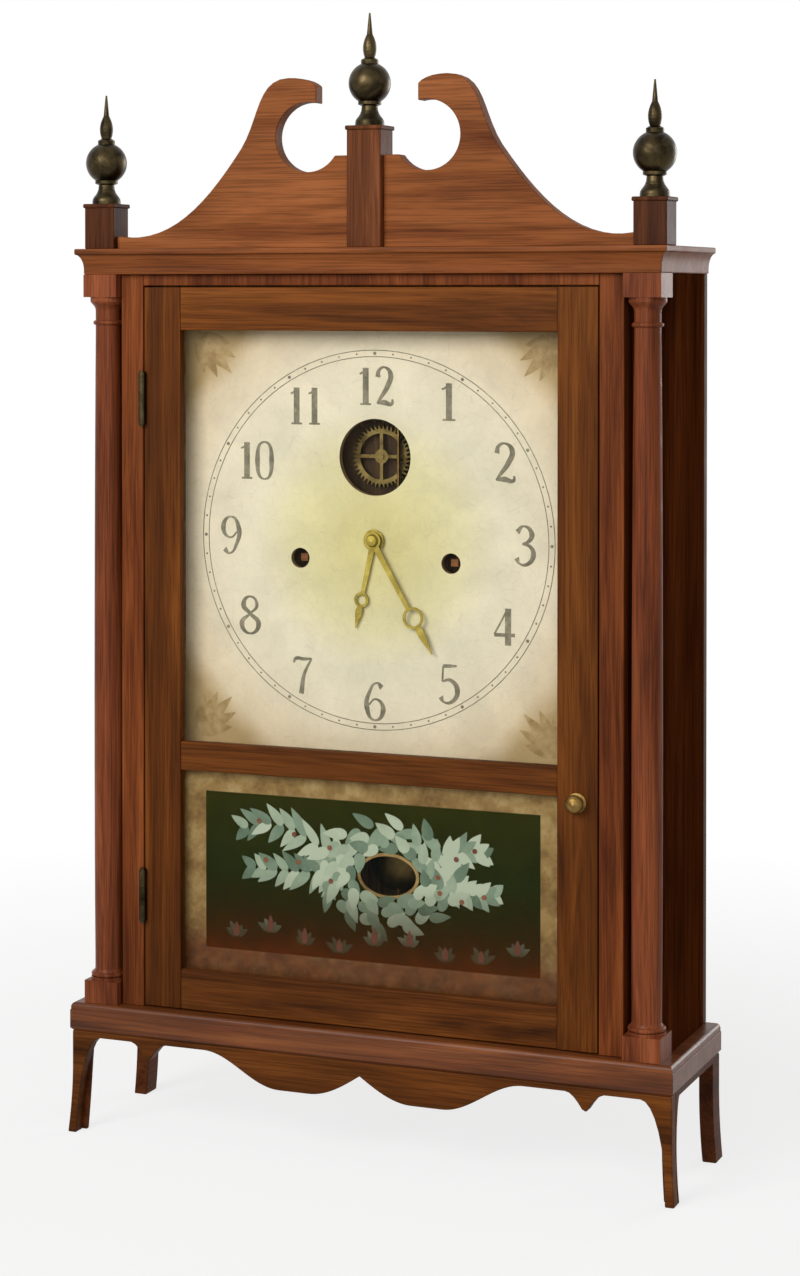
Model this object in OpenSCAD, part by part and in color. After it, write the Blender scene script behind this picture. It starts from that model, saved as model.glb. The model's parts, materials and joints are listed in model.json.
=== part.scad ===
// Pillar and scroll shelf clock: a weight-driven clock with wooden works in a mahogany case.
// Millimetres, +Z up, the front faces -Y, the origin is on the floor under the middle of the case.

/* [Case] */
// Width over the case sides
case_w = 422; // [400:1:460]
// Height of the case between base moulding and cornice
case_h = 516; // [500:1:560]
// Thickness of the case sides
side_t = 12; // [8:0.5:14]
// Thickness of the backboard
back_t = 8; // [5:0.5:12]
// Thickness of the door frame and front stiles
frame_t = 15; // [13:0.5:20]
// Width of each front stile beside the door
stile_w = 43; // [38:0.5:48]
// Height of the head rail above the door
head_h = 8; // [5:0.5:14]
// Thickness of the top board
top_t = 12; // [8:0.5:14]

/* [Base] */
// Height of the feet below the base moulding
foot_h = 72; // [60:1:90]
// Height of the base moulding
base_h = 20; // [16:0.5:28]
// How far the toes stand out beyond the case sides
base_over = 12; // [8:0.5:18]
// How far the toes stand out in front of the case
front_set = 11; // [11:0.5:16]
// Thickness of the skirt boards
skirt_t = 10; // [7:0.5:14]
// How far a foot flares out at the toe
foot_flare = 2.5; // [2:0.5:6]
// Width of a front foot at the floor
toe_w = 6.5; // [5:0.5:14]
// Width of a front foot where it meets the skirt
leg_w = 24; // [18:0.5:30]
// Width of a rear foot seen from the side
rear_leg_w = 17; // [10:0.5:24]
// Depth of the skirt between its ornaments
strip_drop = 4; // [2:0.5:8]
// Depth of the two lobes of the apron
lobe_drop = 26; // [14:0.5:36]
// Depth of the apron at its middle notch
notch_drop = 10; // [5:0.5:13]
// Depth of the small cusp near each foot
cusp_drop = 18; // [9:0.5:26]
// Distance of each cusp from the outside of its foot
cusp_in = 62; // [52:0.5:70]

/* [Columns] */
// Diameter of a column at its foot
column_d = 22; // [16:0.5:24]
// Diameter of a column at its neck
neck_d = 18; // [13:0.5:20]
// Side of the square column blocks
block_w = 26; // [25:0.5:27]
// Height of the column blocks
block_h = 16; // [8:0.5:24]

/* [Cornice and pediment] */
// Height of the cornice
cornice_h = 18; // [14:0.5:26]
// How far the cornice stands out at each side
cornice_over = 5; // [3:0.5:10]
// Height of the scrolls above the cornice
scroll_h = 117; // [105:1:130]
// Thickness of the scroll board
scroll_t = 12; // [8:0.5:16]
// Diameter of the round eye under each scroll
eye_d = 48; // [38:0.5:50]
// Height of the scroll over its eye
hook_h = 17; // [12:0.5:22]
// Width of the middle plinth
centre_plinth_w = 25; // [22:0.5:32]
// Height of the middle plinth
centre_plinth_h = 83; // [75:0.5:100]
// Width of the side plinths
plinth_w = 23; // [20:0.5:28]
// Height of the side plinths
plinth_h = 32; // [22:0.5:45]

/* [Finials] */
// Height of a finial
finial_h = 77; // [70:0.5:95]
// Diameter of a finial's ball
ball_d = 29; // [22:0.5:30]
// Height of the ball's middle above the plinth
ball_up = 29; // [24:0.5:34]

/* [Door] */
// Gap between the door and the case around it
door_gap = 1; // [0.8:0.1:2]
// Width of the door stiles
door_stile_w = 28; // [24:0.5:34]
// Height of the door's top rail
top_rail_h = 30; // [22:0.5:36]
// Height of the rail between the two panes
mid_rail_h = 20; // [14:0.5:26]
// Height of the door's bottom rail
bottom_rail_h = 28; // [20:0.5:36]
// Thickness of the lip in front of the panes
lip_t = 7; // [4:0.5:9]
// Width of the rebate behind the lip
rebate_w = 5; // [3:0.5:7]
// Thickness of the panes
glass_t = 2; // [1.5:0.1:3]
// Length of each hinge
hinge_l = 36; // [24:1:50]
// Diameter of the hinge barrels
barrel_d = 5; // [4:0.1:6]
// Diameter of the door knob
knob_d = 13; // [9:0.5:16]

/* [Dial] */
// Height of the dial's opening
dial_h = 288; // [274:1:300]
// Gap between the door and the dial
dial_gap = 5; // [5:0.5:10]
// Thickness of the dial board
dial_t = 5; // [3:0.5:8]
// How far the dial board reaches past the opening at each side
dial_side = 26; // [16:0.5:27]
// How far the dial board reaches past the opening above and below
dial_edge = 12; // [4:0.5:16]
// Height of the escapement's aperture above the dial's centre
aperture_up = 57; // [56:0.5:62]
// Diameter of the aperture
aperture_d = 53; // [40:0.5:54]
// Diameter of the winding holes
winding_hole_d = 14; // [11:0.5:18]
// Length of the minute hand
minute_l = 88; // [60:1:110]
// Length of the hour hand
hour_l = 62; // [40:1:80]

/* [Movement] */
// Gap between the dial and the front plate
motion_gap = 12; // [12:0.5:16]
// Thickness of the movement's plates
plate_t = 6; // [4:0.5:9]
// Distance of the winding arbors from the middle
winding_x = 56; // [54:0.5:57]
// Thickness of the great wheels
great_t = 5; // [4:0.5:8]
// Thickness of the second wheels
wheel_t = 3; // [2.5:0.1:5]
// Thickness of the third and warning wheels
thin_t = 2.5; // [2:0.1:4]
// Thickness of the cleats behind the movement
cleat_t = 25; // [18:0.5:32]
// Diameter of the bell
bell_d = 50; // [40:1:52]

/* [Pendulum] */
// Distance of the pendulum to the right of the middle
pendulum_x = 14; // [13:0.5:15]
// Length from the suspension to the middle of the bob
pendulum_l = 311; // [290:1:320]
// Diameter of the pendulum rod
rod_d = 2; // [1.6:0.1:2.2]
// Diameter of the bob
bob_d = 41; // [30:1:50]
// Thickness of the bob
bob_t = 10; // [7:0.5:12]

/* [Weights] */
// Diameter of a weight
weight_d = 40; // [34:0.5:41]
// Length of a weight
weight_l = 140; // [100:1:160]
// How far a weight hangs inside the middle of the room beside the movement
weight_in = 3; // [0:0.5:6]
// Diameter of the weight cords
cord_d = 2; // [1.5:0.1:2.5]
// Diameter of the winding drums
drum_d = 22; // [18:0.5:24]
// Diameter of the pulleys at the bottom of their grooves
pulley_d = 24; // [18:0.5:26]

/* [Hidden] */
$fn = 64;

// Colours
mahogany = "#73401f";
dark_mahogany = "#4a2412";
pale_wood = "#c8a878";
cream = "#e6deBe";
brass = "#b08d4a";
iron = "#3a3a3c";
glass = "#b9cdd0";
tablet = "#2d2f11";
hemp = "#cdbf9a";

// Clearances: a turning fit, room between parts that pass each other, and room in a slot
run = 0.05;
pass = 0.3;
slack = 0.5;

// Teeth and modules of the two trains
great_teeth = 60;
great_leaves = 10;
great_m = 1.65;
second_teeth = 64;
third_teeth = 78;
warning_teeth = 48;
leaves = 8;
second_m = 1;
fine_m = 0.8;
motion_m = 0.9;
minute_leaves = 10;
minute_teeth = 30;
hour_teeth = 32;
escape_teeth = 42;
escape_d = 44;
hammer_pins = 8;

// Layers of the movement, from the dial back to the backboard
ratchet_t = 1.4;
count_t = 1.7;
wheel_gap = 2;
hand_t = 1;
end_gap = 0.4;
plates_gap = 3.5 * wheel_gap + 2 * great_t + ratchet_t + wheel_t + thin_t + count_t + end_gap;
base_d = front_set + frame_t + dial_gap + dial_t + motion_gap + 2 * plate_t + plates_gap + cleat_t
    + back_t;
front_y = -base_d / 2;
rear_y = base_d / 2;
case_y = front_y + front_set;
door_back_y = case_y + frame_t;
dial_y = door_back_y + dial_gap;
dial_back_y = dial_y + dial_t;
plate_y = dial_back_y + motion_gap;
inside_y = plate_y + plate_t;
time_great_y = inside_y + wheel_gap;
ratchet_y = time_great_y + great_t + pass;
second_y = ratchet_y + ratchet_t + wheel_gap - pass;
fine_y = second_y + wheel_t + wheel_gap;
strike_great_y = fine_y + thin_t + wheel_gap / 2;
count_y = strike_great_y + great_t;
backboard_y = rear_y - back_t;
cleat_y = backboard_y - cleat_t;
back_plate_y = cleat_y - plate_t;
time_cord_y = second_y + wheel_gap;
hammer_pin_l = 3.5;
strike_cord_y = second_y - hammer_pin_l - pass - cord_d / 2;
minute_pinion_y = plate_y - slack - thin_t;
hour_wheel_y = minute_pinion_y - slack - thin_t;
escape_y = plate_y - wheel_gap - wheel_t;
rod_y = dial_back_y + 3.5;
hour_hand_y = dial_y - 1.5 - hand_t;
minute_hand_y = hour_hand_y - 1.5 - hand_t;

// Heights from the floor up
base_top = foot_h + base_h;
case_top = base_top + case_h;
cornice_top = case_top + cornice_h;
door_z = base_top + door_gap;
tablet_z = door_z + bottom_rail_h;
door_top_z = case_top - head_h - door_gap;
sight_top_z = door_top_z - top_rail_h;
sight_z = sight_top_z - dial_h;
mid_rail_z = sight_z - mid_rail_h;
dial_z = (sight_z + sight_top_z) / 2;
ceiling_z = case_top - top_t;

// Half widths
case_half = case_w / 2;
inner_half = case_half - side_t;
toe_half = case_half + base_over;
skirt_half = toe_half - foot_flare;
moulding_half = skirt_half + foot_flare / 2;
door_edge = case_half - stile_w;
door_half = door_edge - door_gap;
sight_half = door_half - door_stile_w;
column_x = case_half - block_w / 2 + 1;
column_set = 5;
column_y = front_y + column_set + block_w / 2;
corner_y = column_y + block_w / 2;
post_x = case_half - block_w;
web_t = 6;

// Where the arbors stand, as [x, z] seen from the front
great_far = great_m * (great_teeth + great_leaves) / 2;
second_far = second_m * (second_teeth + leaves) / 2;
escape_far = fine_m * (third_teeth + leaves) / 2;
fly_far = fine_m * (warning_teeth + leaves) / 2;
motion_far = motion_m * (minute_leaves + minute_teeth) / 2;
centre_at = [0, dial_z];
escape_at = centre_at + [0, aperture_up];
third_up = (second_far ^ 2 - escape_far ^ 2 + aperture_up ^ 2) / (2 * aperture_up);
third_at = centre_at + [sqrt(second_far ^ 2 - third_up ^ 2), third_up];
winding_drop = sqrt(great_far ^ 2 - winding_x ^ 2);
time_at = centre_at + [winding_x, -winding_drop];
strike_at = centre_at + [-winding_x, -winding_drop];
pin_at = strike_at + great_far * [cos(95), sin(95)];
warning_at = pin_at + second_far * [cos(50), sin(50)];
fly_at = warning_at + fly_far * [cos(20), sin(20)];
minute_at = centre_at - [motion_far, 0];

// Anchor: it spans 64 degrees of the escape wheel and hangs on a pin beside its top
anchor_r = escape_d / 2 / cos(32);
anchor_gap = 1.4;
verge_at = escape_at + [pendulum_x, sqrt(anchor_r ^ 2 - pendulum_x ^ 2)];
anchor_dir = atan2(verge_at.y - escape_at.y, verge_at.x - escape_at.x);
suspension_at = verge_at + [0, 10];
fork_z = escape_at.y - escape_d / 2 - 2;
bob_at = suspension_at - [0, pendulum_l];
stud_r = 2.5;
pin_r = 1.2;

// Cords, pulleys and weights
plate_half = winding_x + great_far - 5;
weight_x = (plate_half + inner_half) / 2 - weight_in;
pulley_rim = pulley_d / 2 + cord_d + 1;
pulley_t = cord_d + 6;
pulley_z = ceiling_z - pulley_rim - 2;
groove_r = pulley_d / 2 + cord_d / 2 + pass;
pulley_x = weight_x - groove_r;
wound_r = drum_d / 2 + cord_d;
wound_l = 5 * cord_d;
lead_r = wound_r + cord_d / 2 + pass;
cord_over = [pulley_x, pulley_z] - time_at;
cord_dir = atan2(cord_over.y, cord_over.x) + asin((lead_r + groove_r) / norm(cord_over));
cord_side = [sin(cord_dir), -cos(cord_dir)];
cord_low = time_at + lead_r * cord_side;
weight_eye_r = 4;
weight_top = pulley_z - pulley_rim - 2 * weight_eye_r - cord_d;
drop_end_z = weight_top + 2 * weight_eye_r + cord_d / 2;

// Arbors and plates
pivot_r = 1.5;
arbor_r = 2;
centre_r = 3;
winding_r = 4;
pipe_r = 4.5;
plate_z = time_at.y - great_far - 6;
plate_top = suspension_at.y + 14;
pillar_r = 5;
pillar_in = 8;
pillar_top = plate_top - pillar_in;
cord_x = cord_low.x + (pillar_top - cord_low.y) / tan(cord_dir);
pillar_far = (pillar_r + cord_d / 2 + wheel_gap) / sin(cord_dir);
pillar_x = min(plate_half - pillar_in, cord_x - pillar_far);
pillar_spots = [
    for (side = [-1, 1], at = [[plate_half - pillar_in, plate_z + pillar_in], [pillar_x, pillar_top]])
        [side * at.x, at.y]
];

// Bell and hammer
bell_under = 3;
bell_at = [pin_at.x - 2, plate_top + bell_under + bell_d / 2];
bell_y = time_cord_y - 5;
bell_l = 20;
hammer_at = pin_at + (second_m * second_teeth / 2 + 9) * [cos(110), sin(110)];
hammer_y = bell_y + bell_l - 5;
hammer_tip = [bell_at.x - bell_d / 2 - 7, bell_at.y];
pin_circle_r = second_m * second_teeth / 2 - 8;

// Shared shapes

// A flat shape seen from the front, between two depths
module from_front(y0, y1) {
    translate([0, y1, 0]) rotate([90, 0, 0]) linear_extrude(y1 - y0) children();
}

// A flat shape seen from the right, between two sides
module from_side(x0, x1) {
    translate([x0, 0, 0]) rotate([90, 0, 90]) linear_extrude(x1 - x0) children();
}

// A box between two corners
module box(low, high) {
    translate(low) cube(high - low);
}

// A round bar along Y through a point seen from the front
module bar(at, r, y0, y1) {
    translate([at.x, y1, at.y]) rotate([90, 0, 0]) cylinder(r = r, h = y1 - y0);
}

// A turned shape along Y: its own height runs forwards from depth y
module turned(at, y) {
    translate([at.x, y, at.y]) rotate([90, 0, 0]) rotate_extrude() children();
}

// A round bar between two points
module rod(a, b, r) {
    d = b - a;
    translate(a) rotate([0, acos(d.z / norm(d)), atan2(d.y, d.x)]) cylinder(r = r, h = norm(d));
}

// The same piece on both sides of the clock
module both_sides() {
    children();
    mirror([1, 0, 0]) children();
}

// Points along a curve with four control points
function curve(a, b, c, d, n = 10) = [
    for (i = [0:n]) let (t = i / n, s = 1 - t)
        s ^ 3 * a + 3 * s ^ 2 * t * b + 3 * s * t ^ 2 * c + t ^ 3 * d
];

// Points of a quarter round or cove
function arc(at, r, from, to, n = 8) = [
    for (i = [0:n]) let (a = from + (to - from) * i / n) at + r * [cos(a), sin(a)]
];

function reversed(list) = [for (i = [len(list) - 1:-1:0]) list[i]];

function ease(a, b, t) = a + (b - a) * (1 - cos(180 * t)) / 2;

// A board with a moulded front and ends: profile gives [out, up] from its bottom
module moulded_board(half, front, z, profile) {
    reach = max([for (p = profile) p.x]) + 1;
    right = [for (p = profile) [half + p.x, z + p.y]];
    left = [for (p = reversed(right)) [-p.x, p.y]];
    top = profile[len(profile) - 1].y;
    intersection() {
        from_front(front - reach, rear_y) polygon(concat(right, left));
        from_side(-half - reach, half + reach)
            polygon(concat([for (p = profile) [front - p.x, z + p.y]], [[rear_y, z + top], [rear_y, z]]));
    }
}

// A toothed outline: tip_part and root_part are a tooth's half widths in parts of the pitch
module toothed(teeth, m, add, ded, tip_part, root_part, turn) {
    tip = m * (teeth / 2 + add);
    root = m * (teeth / 2 - ded);
    tooth = [[root, -root_part], [tip, -tip_part], [tip, tip_part], [root, root_part]];
    polygon([
        for (i = [0:teeth - 1], k = tooth)
            let (a = turn + (i + k.y) * 360 / teeth) k.x * [cos(a), sin(a)]
    ]);
}

module wheel_outline(teeth, m, turn) {
    toothed(teeth, m, 0.9, 1.2, 0.08, 0.25, turn);
}

module pinion_outline(teeth, m, turn) {
    toothed(teeth, m, 0.8, 1.3, 0.07, 0.17, turn);
}

module wheel(at, teeth, m, turn, y, t) {
    from_front(y, y + t) translate(at) wheel_outline(teeth, m, turn);
}

module pinion(at, teeth, m, turn, y, t) {
    from_front(y - slack, y + t + slack) translate(at) pinion_outline(teeth, m, turn);
}

// Turn of a wheel that meshes with another one, whose turn is known
function meshed(from, to, turn, teeth, other) =
    let (dir = atan2(to.y - from.y, to.x - from.x))
    dir + 180 - (0.5 - (dir - turn) * teeth / 360) * 360 / other;

time_great_turn = meshed(centre_at, time_at, 0, great_leaves, great_teeth);
third_turn = meshed(centre_at, third_at, 0, second_teeth, leaves);
escape_turn = meshed(third_at, escape_at, third_turn, third_teeth, leaves);
minute_turn = meshed(centre_at, minute_at, 0, minute_leaves, minute_teeth);
hour_turn = meshed(minute_at, centre_at, minute_turn, leaves, hour_teeth);
pin_turn = meshed(strike_at, pin_at, 0, great_teeth, great_leaves);
warning_turn = meshed(pin_at, warning_at, pin_turn, second_teeth, leaves);
fly_turn = meshed(warning_at, fly_at, warning_turn, warning_teeth, leaves);

// Base and feet

function flare_at(z) = foot_flare * max(0, 1 - z / (0.7 * foot_h)) ^ 2;

foot_levels = [for (i = [0:8]) foot_h * i / 8];

// Depth of the skirt below the base moulding, at a distance from the middle
function skirt_drop(u) =
    let (lobe_in = 38, lobe_out = 60, lobe_end = 118, cusp_u = toe_half - cusp_in, cusp_r = 14)
    u <= lobe_in ? notch_drop + (lobe_drop - notch_drop) * sin(90 * u / lobe_in) :
    u <= lobe_out ? lobe_drop :
    u <= lobe_end ? ease(lobe_drop, strip_drop, (u - lobe_out) / (lobe_end - lobe_out)) :
    abs(u - cusp_u) < cusp_r ?
        strip_drop + (cusp_drop - strip_drop) * (1 - sin(90 * abs(u - cusp_u) / cusp_r)) :
    strip_drop;

// Lower edge of a foot, from where it leaves the skirt down to its toe
function foot_edge(inner, toe) = [
    for (i = [0:8]) let (a = 90 * i / 8)
        [inner + (toe - inner) * sin(a), (foot_h - strip_drop) * cos(a)]
];

module base_moulding() {
    round_r = 3;
    fillet = 0.5;
    bead = base_h - round_r - 2;
    profile = concat([[-2, 0], [0, 2], [0, bead], [-fillet, bead]],
        arc([-fillet - round_r, base_h - round_r], round_r, 0, 90));
    color(mahogany)
        moulded_board(moulding_half, front_y + foot_flare / 2, foot_h, profile);
}

module front_skirt() {
    leg_u = toe_half - leg_w;
    half_edge = concat(
        [for (u = [0:3:leg_u - 1.5]) [u, foot_h - skirt_drop(u)]],
        foot_edge(leg_u, toe_half - toe_w));
    outside = [for (z = foot_levels) [skirt_half + flare_at(z), z]];
    right = concat(half_edge, outside);
    left = [for (p = reversed(right)) [-p.x, p.y]];
    face = [for (z = foot_levels) [front_y + foot_flare - flare_at(z), z]];
    color(mahogany) intersection() {
        from_front(front_y - 1, front_y + skirt_t + foot_flare + 1)
            polygon(concat(right, [for (i = [0:len(left) - 2]) left[i]]));
        from_side(-toe_half - 1, toe_half + 1)
            polygon(concat(face, [for (p = reversed(face)) p + [skirt_t, 0]]));
    }
}

module side_skirts() {
    leg_y = front_y + skirt_t + leg_w / 2;
    toe_y = front_y + skirt_t + toe_w / 2;
    face = [for (z = foot_levels) [skirt_half + flare_at(z), z]];
    behind = [for (z = reversed(foot_levels)) [front_y + foot_flare - flare_at(z) + skirt_t, z]];
    rear_foot = rear_y - rear_leg_w;
    color(mahogany) both_sides() intersection() {
        from_side(0, toe_half + 1)
            polygon(concat(behind, reversed(foot_edge(leg_y, toe_y)),
                [[rear_foot, foot_h - strip_drop], [rear_foot, 0], [rear_y, 0], [rear_y, foot_h]]));
        from_front(front_y, rear_y)
            polygon(concat(face, [for (p = reversed(face)) p - [skirt_t, 0]]));
    }
}

// Case

// A side board, with a web and a short wall in front that close the corner where a column stands
module case_sides() {
    web_x = post_x - web_t;
    color(mahogany) both_sides() translate([0, 0, base_top]) linear_extrude(case_h)
        polygon([
            [web_x, door_back_y], [post_x, door_back_y], [post_x, corner_y], [case_half, corner_y],
            [case_half, backboard_y], [inner_half, backboard_y], [inner_half, dial_back_y],
            [web_x, dial_back_y]
        ]);
}

module top_board() {
    color(pale_wood)
        box([-inner_half, dial_back_y, ceiling_z], [inner_half, backboard_y, case_top]);
}

module backboard() {
    color(pale_wood)
        box([-case_half, backboard_y, base_top], [case_half, rear_y, case_top]);
}

leaf_t = 1.2;
leaf_d = frame_t - 3;
hinge_zs = [door_z + 60, door_top_z - 60 - hinge_l];
hinge_x = -door_edge + door_gap / 2;
hinge_y = case_y - barrel_d / 2 - pass;
knuckle = hinge_l / 3;

// Room for hinge leaves let into an edge whose face is at x
module leaf_beds(x) {
    for (z = hinge_zs)
        box([x - leaf_t, case_y - 1, z], [x + leaf_t, case_y + leaf_d, z + hinge_l]);
}

// A post on each side of the door
module front_stiles() {
    color(mahogany) difference() {
        both_sides() box([door_edge, case_y, base_top], [post_x, door_back_y, case_top]);
        leaf_beds(-door_edge);
    }
}

module head_rail() {
    color(mahogany)
        box([-door_edge, case_y, case_top - head_h], [door_edge, door_back_y, case_top]);
}

// Two rails that carry the dial board, and two cleats that carry the movement
module case_rails() {
    rail_d = strike_cord_y - weight_d / 2 - 2 * pass - dial_back_y;
    rail_x = sight_half + dial_side - 7;
    color(pale_wood) both_sides() {
        box([rail_x, dial_back_y, sight_z - dial_edge - 4], [inner_half, dial_back_y + rail_d, ceiling_z]);
        box([plate_half - 40, cleat_y, plate_z], [plate_half - 12, backboard_y, plate_top]);
    }
}

// Columns

module column(x) {
    foot_z = base_top + block_h;
    neck_z = case_top - block_h;
    r = column_d / 2;
    neck = neck_d / 2;
    ring = block_w / 2 - r - pass;
    shaft = neck_z - foot_z;
    tenon = block_h / 4;
    translate([x, column_y, 0]) {
        for (z = [base_top, neck_z])
            translate([-block_w / 2, -block_w / 2, z]) cube([block_w, block_w, block_h]);
        rotate_extrude() {
            polygon(concat(
                [[0, foot_z - tenon], [neck, foot_z - tenon], [neck, foot_z], [r + ring, foot_z],
                    [r + ring, foot_z + 2]],
                arc([r, foot_z + 2 + ring], ring, -90, 90),
                [[r - 1, foot_z + 4 + 2 * ring]],
                curve([r - 1, foot_z + 12], [r, foot_z + shaft * 0.31],
                    [neck + 1, neck_z - shaft * 0.25], [neck, neck_z - 22]),
                arc([neck, neck_z - 18], ring, -90, 90),
                [[neck, neck_z - 12]],
                curve([neck, neck_z - 10], [neck, neck_z - 6], [r, neck_z - 6], [r + ring, neck_z - 3], 6),
                [[r + ring, neck_z], [neck, neck_z], [neck, neck_z + tenon], [0, neck_z + tenon]]));
        }
    }
}

module left_column() {
    color(dark_mahogany) column(-column_x);
}

module right_column() {
    color(dark_mahogany) column(column_x);
}

// Cornice, scrolls, plinths and finials

module cornice() {
    lip = 4;
    low = 3;
    cove = cornice_h - low - lip;
    front = column_y - block_w / 2 - 1;
    profile = concat([[0, 0], [0, low]],
        [for (i = [1:8]) let (a = 90 * i / 8) [cornice_over * (1 - cos(a)), low + cove * sin(a)]],
        [[cornice_over, cornice_h]]);
    color(mahogany)
        moulded_board(case_half + 1, max(front, front_y + cornice_over), case_top, profile);
}

scroll_y = corner_y - scroll_t - 3;
plinth_d = plinth_w;
plinth_y = scroll_y + scroll_t / 2;
side_plinth_x = case_half - plinth_w / 2 + 3;

module scroll_half() {
    start = side_plinth_x - plinth_w / 2;
    middle = centre_plinth_w / 2;
    top = scroll_h;
    unit = top / 117;
    hook_u = middle + 25 * unit;
    hip = [hook_u + 57 * unit, top - 48 * unit];
    crest = [hook_u + 21 * unit, top];
    hook = [hook_u, top - 6 * unit];
    heel = [start, 9 * unit];
    eye_at = [hook_u + 6.5 * unit, top - hook_h - eye_d / 2];
    shoulder = eye_at.y - 13 * unit;
    outer = concat(
        [[start, 0], heel],
        curve(heel, heel - [42, 7] * unit, heel + [-70, 23] * unit, hip, 14),
        curve(hip, hip + [-14, 21] * unit, crest + [24, 0] * unit, crest, 10),
        curve(crest, crest - [10, 0] * unit, hook + [4, 4] * unit, hook, 5),
        [[middle, hook.y], [middle, 0]]);
    difference() {
        polygon(outer);
        translate(eye_at) circle(d = eye_d);
        translate([middle - 1, shoulder]) square([hook_u - middle + 1, top]);
    }
}

module scroll_pediment() {
    color(mahogany) both_sides()
        from_front(scroll_y, scroll_y + scroll_t) translate([0, cornice_top]) scroll_half();
}

// A square plinth under a thin cap
module plinth(x, w, h) {
    cap_h = 3;
    translate([x, plinth_y, cornice_top]) {
        translate([-w / 2, -plinth_d / 2, 0]) cube([w, plinth_d, h - cap_h]);
        translate([-w / 2 - 1, -plinth_d / 2 - 1, h - cap_h]) cube([w + 2, plinth_d + 2, cap_h]);
    }
}

module centre_plinth() {
    color(dark_mahogany) plinth(0, centre_plinth_w, centre_plinth_h);
}

module side_plinths() {
    color(dark_mahogany) both_sides() plinth(side_plinth_x, plinth_w, plinth_h);
}

// A turned brass finial: foot, stem, ball, collar and tall spire
module finial(x, h) {
    ball = ball_d / 2;
    spire_z = ball_up + ball + 3;
    foot = 10;
    neck = 5.5;
    translate([x, plinth_y, cornice_top + h]) rotate_extrude() {
        polygon(concat(
            [[0, 0], [foot, 0], [foot, 2]],
            curve([foot, 2], [foot, 6], [neck, 6], [neck, ball_up - ball - 1], 6),
            [[neck + 2.5, ball_up - ball], [neck + 2.5, ball_up - ball + 2], [0, ball_up]]));
        intersection() {
            translate([0, ball_up]) circle(d = ball_d);
            translate([0, ball_up - ball]) square(2 * ball);
        }
        polygon(concat(
            [[0, ball_up], [6, ball_up + ball - 2], [6, spire_z - 1.5]],
            curve([3.5, spire_z], [6, spire_z + 7], [4, spire_z + 12], [2, spire_z + 16], 8),
            [[0.6, finial_h], [0, finial_h]]));
    }
}

module left_finial() {
    color(brass) finial(-side_plinth_x, plinth_h);
}

module centre_finial() {
    color(brass) finial(0, centre_plinth_h);
}

module right_finial() {
    color(brass) finial(side_plinth_x, plinth_h);
}

// Door: both openings with their rebates are cut through all five members

glass_y = case_y + lip_t;

module sight(z0, z1) {
    box([-sight_half, case_y - 1, z0], [sight_half, door_back_y + 1, z1]);
    box([-sight_half - rebate_w, glass_y, z0 - rebate_w],
        [sight_half + rebate_w, door_back_y + 1, z1 + rebate_w]);
}

module door_member(low, high) {
    color(mahogany) difference() {
        box([low.x, case_y, low.y], [high.x, door_back_y, high.y]);
        sight(tablet_z, mid_rail_z);
        sight(sight_z, sight_top_z);
        leaf_beds(-door_half);
        bar(latch_at, latch_r + run, case_y - 1, door_back_y + 1);
    }
}

latch_at = [door_half - door_stile_w / 2, mid_rail_z - 3];
latch_r = 2.5;

module door_left_stile() {
    door_member([-door_half, door_z], [-sight_half, door_top_z]);
}

module door_right_stile() {
    door_member([sight_half, door_z], [door_half, door_top_z]);
}

module door_rail(z0, z1) {
    door_member([-sight_half, z0], [sight_half, z1]);
}

module door_top_rail() {
    door_rail(sight_top_z, door_top_z);
}

module door_mid_rail() {
    door_rail(mid_rail_z, sight_z);
}

module door_bottom_rail() {
    door_rail(door_z, tablet_z);
}

module pane(z0, z1) {
    grow = rebate_w - slack;
    box([-sight_half - grow, glass_y, z0 - grow], [sight_half + grow, glass_y + glass_t, z1 + grow]);
}

module dial_glass() {
    color(glass, 0.35) pane(sight_z, sight_top_z);
}

module tablet_glass() {
    color(tablet) pane(tablet_z, mid_rail_z);
}

// Hinges: the case leaf has the two outer knuckles and the pin, the door leaf the middle one

module knuckles(z, spans) {
    for (s = spans)
        translate([hinge_x, hinge_y, z + s[0]]) cylinder(d = barrel_d, h = s[1] - s[0]);
}

module hinge_leaf(z, x, spans) {
    difference() {
        union() {
            knuckles(z, spans);
            box([x, case_y, z], [x + leaf_t, case_y + leaf_d, z + hinge_l]);
            for (s = spans)
                box([x, hinge_y, z + s[0]], [x + leaf_t, case_y + 1, z + s[1]]);
        }
        translate([hinge_x, hinge_y, z - 1]) cylinder(r = pin_r + run, h = hinge_l + 2);
    }
}

module hinge_case_leaves() {
    color(brass) for (z = hinge_zs) {
        hinge_leaf(z, -door_edge - leaf_t, [[0, knuckle - 0.1], [2 * knuckle + 0.1, hinge_l]]);
        translate([hinge_x, hinge_y, z - 1]) {
            cylinder(r = pin_r, h = hinge_l + 1);
            for (end = [-0.5, hinge_l + 1])
                translate([0, 0, end]) cylinder(r = pin_r + 0.6, h = 1.5);
        }
    }
}

module hinge_door_leaves() {
    color(brass) for (z = hinge_zs)
        hinge_leaf(z, -door_half, [[knuckle + 0.1, 2 * knuckle - 0.1]]);
}

// Knob, spindle and a tongue that turns behind the case stile
module door_latch() {
    tongue_y = door_back_y + pass;
    tongue_t = 2;
    tongue_w = 8;
    reach = door_stile_w / 2 + door_gap + stile_w - block_w - web_t - 2;
    r = knob_d / 2;
    color(brass) {
        bar(latch_at, latch_r, case_y - 4, tongue_y + tongue_t);
        turned(latch_at, case_y - pass)
            polygon(concat([[0, 0], [r, 0], [r, 1], [3, 2]],
                curve([3, 3], [r * 0.8, 4], [r * 1.3, 6.5], [r * 0.6, 9], 8), [[0, 10]]));
        from_front(tongue_y, tongue_y + tongue_t) translate(latch_at) {
            circle(d = tongue_w);
            translate([-tongue_w / 2, -reach]) square([tongue_w, reach]);
        }
    }
}

// Dial and hands

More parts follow.
